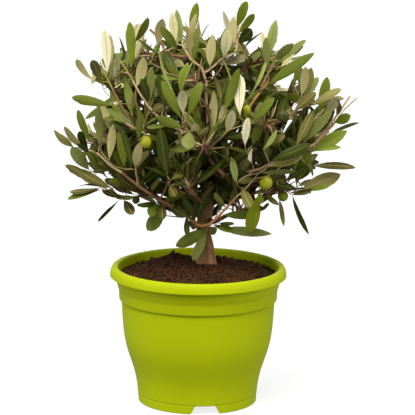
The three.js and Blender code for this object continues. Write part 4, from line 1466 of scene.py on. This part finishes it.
def make_wood(plant):
    """The trunk, the leader and the boughs. Returns each bough's end."""
    trunk = smooth_path(TRUNK_POINTS, TRUNK_RINGS)
    leader = smooth_path(LEADER_POINTS, LEADER_RINGS)
    shape = limb(trunk, trunk_radius, TRUNK_SIDES, trunk_relief)
    make_piece("trunk_bark", shape, [FINISHES["bark"]], ["trunk"])
    shape = limb(leader, tapering(LEADER_RADII), LEADER_SIDES, bough_relief)
    make_piece("leader_bark", shape, [FINISHES["bough_bark"]], ["leader"])
    plant.add_wood(trunk[TRUNK_RINGS // 2 :], (TRUNK_MIDDLE_RADIUS, TRUNK_FORK_RADIUS))
    plant.add_wood(leader, LEADER_RADII)
    parents = np.vstack([trunk, leader])
    ends = {}
    for name, mass in MASSES.items():
        path = smooth_path(bough_points(name, mass, parents), BOUGH_RINGS)
        shape = limb(path, tapering(BOUGH_RADII), BOUGH_SIDES, bough_relief)
        make_piece(name + "_bough", shape, [FINISHES["bough_bark"]], ["bough_" + name])
        plant.add_wood(path[BARE_BOUGH_RINGS:], BOUGH_RADII)
        ends[name] = path[-1]
    return ends


def grow_seen_twigs(plant):
    for foot_radius, tip_radius, tone, places in SEEN_TWIGS:
        points = [seen(*place) for place in places]
        start = plant.places[plant.foothold(points[0], unit(points[1] - points[0]))]
        plant.grow([start, *points], (TWIG_SWELL * foot_radius, TWIG_SWELL * tip_radius), tone)


def from_fork(row):
    """How far the foot of a leaf that shows lies from the trunk's fork."""
    foot = seen(row[2], row[3], front_depth(row[2], row[3]))
    return np.linalg.norm(foot - np.array(TRUNK_POINTS[-1], float))


def make_tree():
    plant = Plant()
    ends = make_wood(plant)
    grow_seen_twigs(plant)
    for number, name in enumerate(MASSES):
        fill_mass(plant, name, ends[name], number)
    fill_inside(plant)
    chance = np.random.default_rng(LEAF_SEED)
    for row in sorted(SEEN_LEAVES, key=from_fork):
        place_seen_leaf(plant, row, chance)
        place_leaf_behind(plant, row, chance)
        place_leaf_behind(plant, row, chance)
    make_leaves(plant)
    make_olives(plant)
    make_twigs(plant)


# Studio


WORLD_STRENGTH = 0.39
FLOOR_HALF_SIDE = 12
FLOOR_GLOW = {"Specular_IOR_Level": 0.0, "Emission_Color": (1, 1, 1, 1), "Emission_Strength": 0.8}
LIGHTS = {
    "key": ((-0.4, -1.9, 2.6), 1.2, 46, (1.0, 0.985, 0.96)),
    "left": ((-2.6, -1.3, 1.3), 1.6, 30, (1.0, 0.99, 0.97)),
    "right": ((2.6, -1.3, 1.3), 1.6, 36, (1.0, 0.99, 0.97)),
    "back": ((0.4, 2.6, 1.9), 1.8, 15, (1.0, 1.0, 1.0)),
}
LIGHT_AIM = Vector((0, 0, 0.25))
OVERHEAD_STRENGTH = 2.8
OVERHEAD_SPREAD = 60
OVERHEAD_TILT = (12, -10)


def add_light(name, place, size, power, colour):
    """A round lamp that faces the plant. Places and sizes are in metres."""
    lamp = bpy.data.lights.new(name, "AREA")
    lamp.shape = "DISK"
    lamp.size = size
    lamp.energy = power
    lamp.color = colour
    light = bpy.data.objects.new(name, lamp)
    light.location = place
    light.rotation_euler = (LIGHT_AIM - Vector(place)).to_track_quat("-Z", "Y").to_euler()
    bpy.context.scene.collection.objects.link(light)


def make_studio():
    scene = bpy.context.scene
    scene.view_settings.view_transform = "Standard"
    world = bpy.data.worlds.new("studio")
    world.use_nodes = True
    background = world.node_tree.nodes["Background"]
    background.inputs["Color"].default_value = (1, 1, 1, 1)
    background.inputs["Strength"].default_value = WORLD_STRENGTH
    scene.world = world
    shape = bmesh.new()
    bmesh.ops.create_grid(shape, x_segments=1, y_segments=1, size=FLOOR_HALF_SIDE)
    mesh = bpy.data.meshes.new("floor")
    shape.to_mesh(mesh)
    shape.free()
    mesh.materials.append(plain_finish("floor_pale", (120, 120, 120), 0.95, **FLOOR_GLOW))
    floor = bpy.data.objects.new("floor", mesh)
    floor.visible_diffuse = False
    floor.visible_glossy = False
    scene.collection.objects.link(floor)
    for name, measures in LIGHTS.items():
        add_light(name, *measures)
    overhead = bpy.data.lights.new("overhead", "SUN")
    overhead.energy = OVERHEAD_STRENGTH
    overhead.angle = math.radians(OVERHEAD_SPREAD)
    sky = bpy.data.objects.new("overhead", overhead)
    sky.rotation_euler = (*(math.radians(tilt) for tilt in OVERHEAD_TILT), 0)
    scene.collection.objects.link(sky)


def make_camera():
    lens = bpy.data.cameras.new("camera")
    lens.sensor_width = SENSOR_WIDTH
    lens.lens = FOCAL_PIXELS / FRAME_PIXELS * SENSOR_WIDTH
    lens.shift_x = 0.5 - OPTICAL_CENTRE[0] / FRAME_PIXELS
    lens.shift_y = OPTICAL_CENTRE[1] / FRAME_PIXELS - 0.5
    lens.clip_end = 60
    camera = bpy.data.objects.new("camera", lens)
    camera.location = CAMERA_PLACE * MM
    camera.rotation_euler = Matrix((VIEW_RIGHT, VIEW_UP, -VIEW_AHEAD)).transposed().to_euler()
    bpy.context.scene.collection.objects.link(camera)
    bpy.context.scene.camera = camera


FINISHES = {
    "pot": pot_finish(),
    "soil": soil_finish(),
    "bark": bark_finish("trunk_bark", (168, 126, 82), (103, 75, 49), (132, 112, 78)),
    "bough_bark": bark_finish("bough_bark", (122, 84, 56), (66, 44, 28), (96, 80, 56)),
    # olive_shaded is painted shade: the same olive skin, darker, for olives that lie in shadow.
    "olive_light": olive_finish("olive_green", (160, 162, 14), (126, 134, 10)),
    "olive_shaded": olive_finish("olive_painted_shade", (84, 90, 20), (58, 56, 20)),
}

make_camera()
make_studio()
make_pot()
make_pot_floor()
make_soil()
make_crumbs()
make_tree()
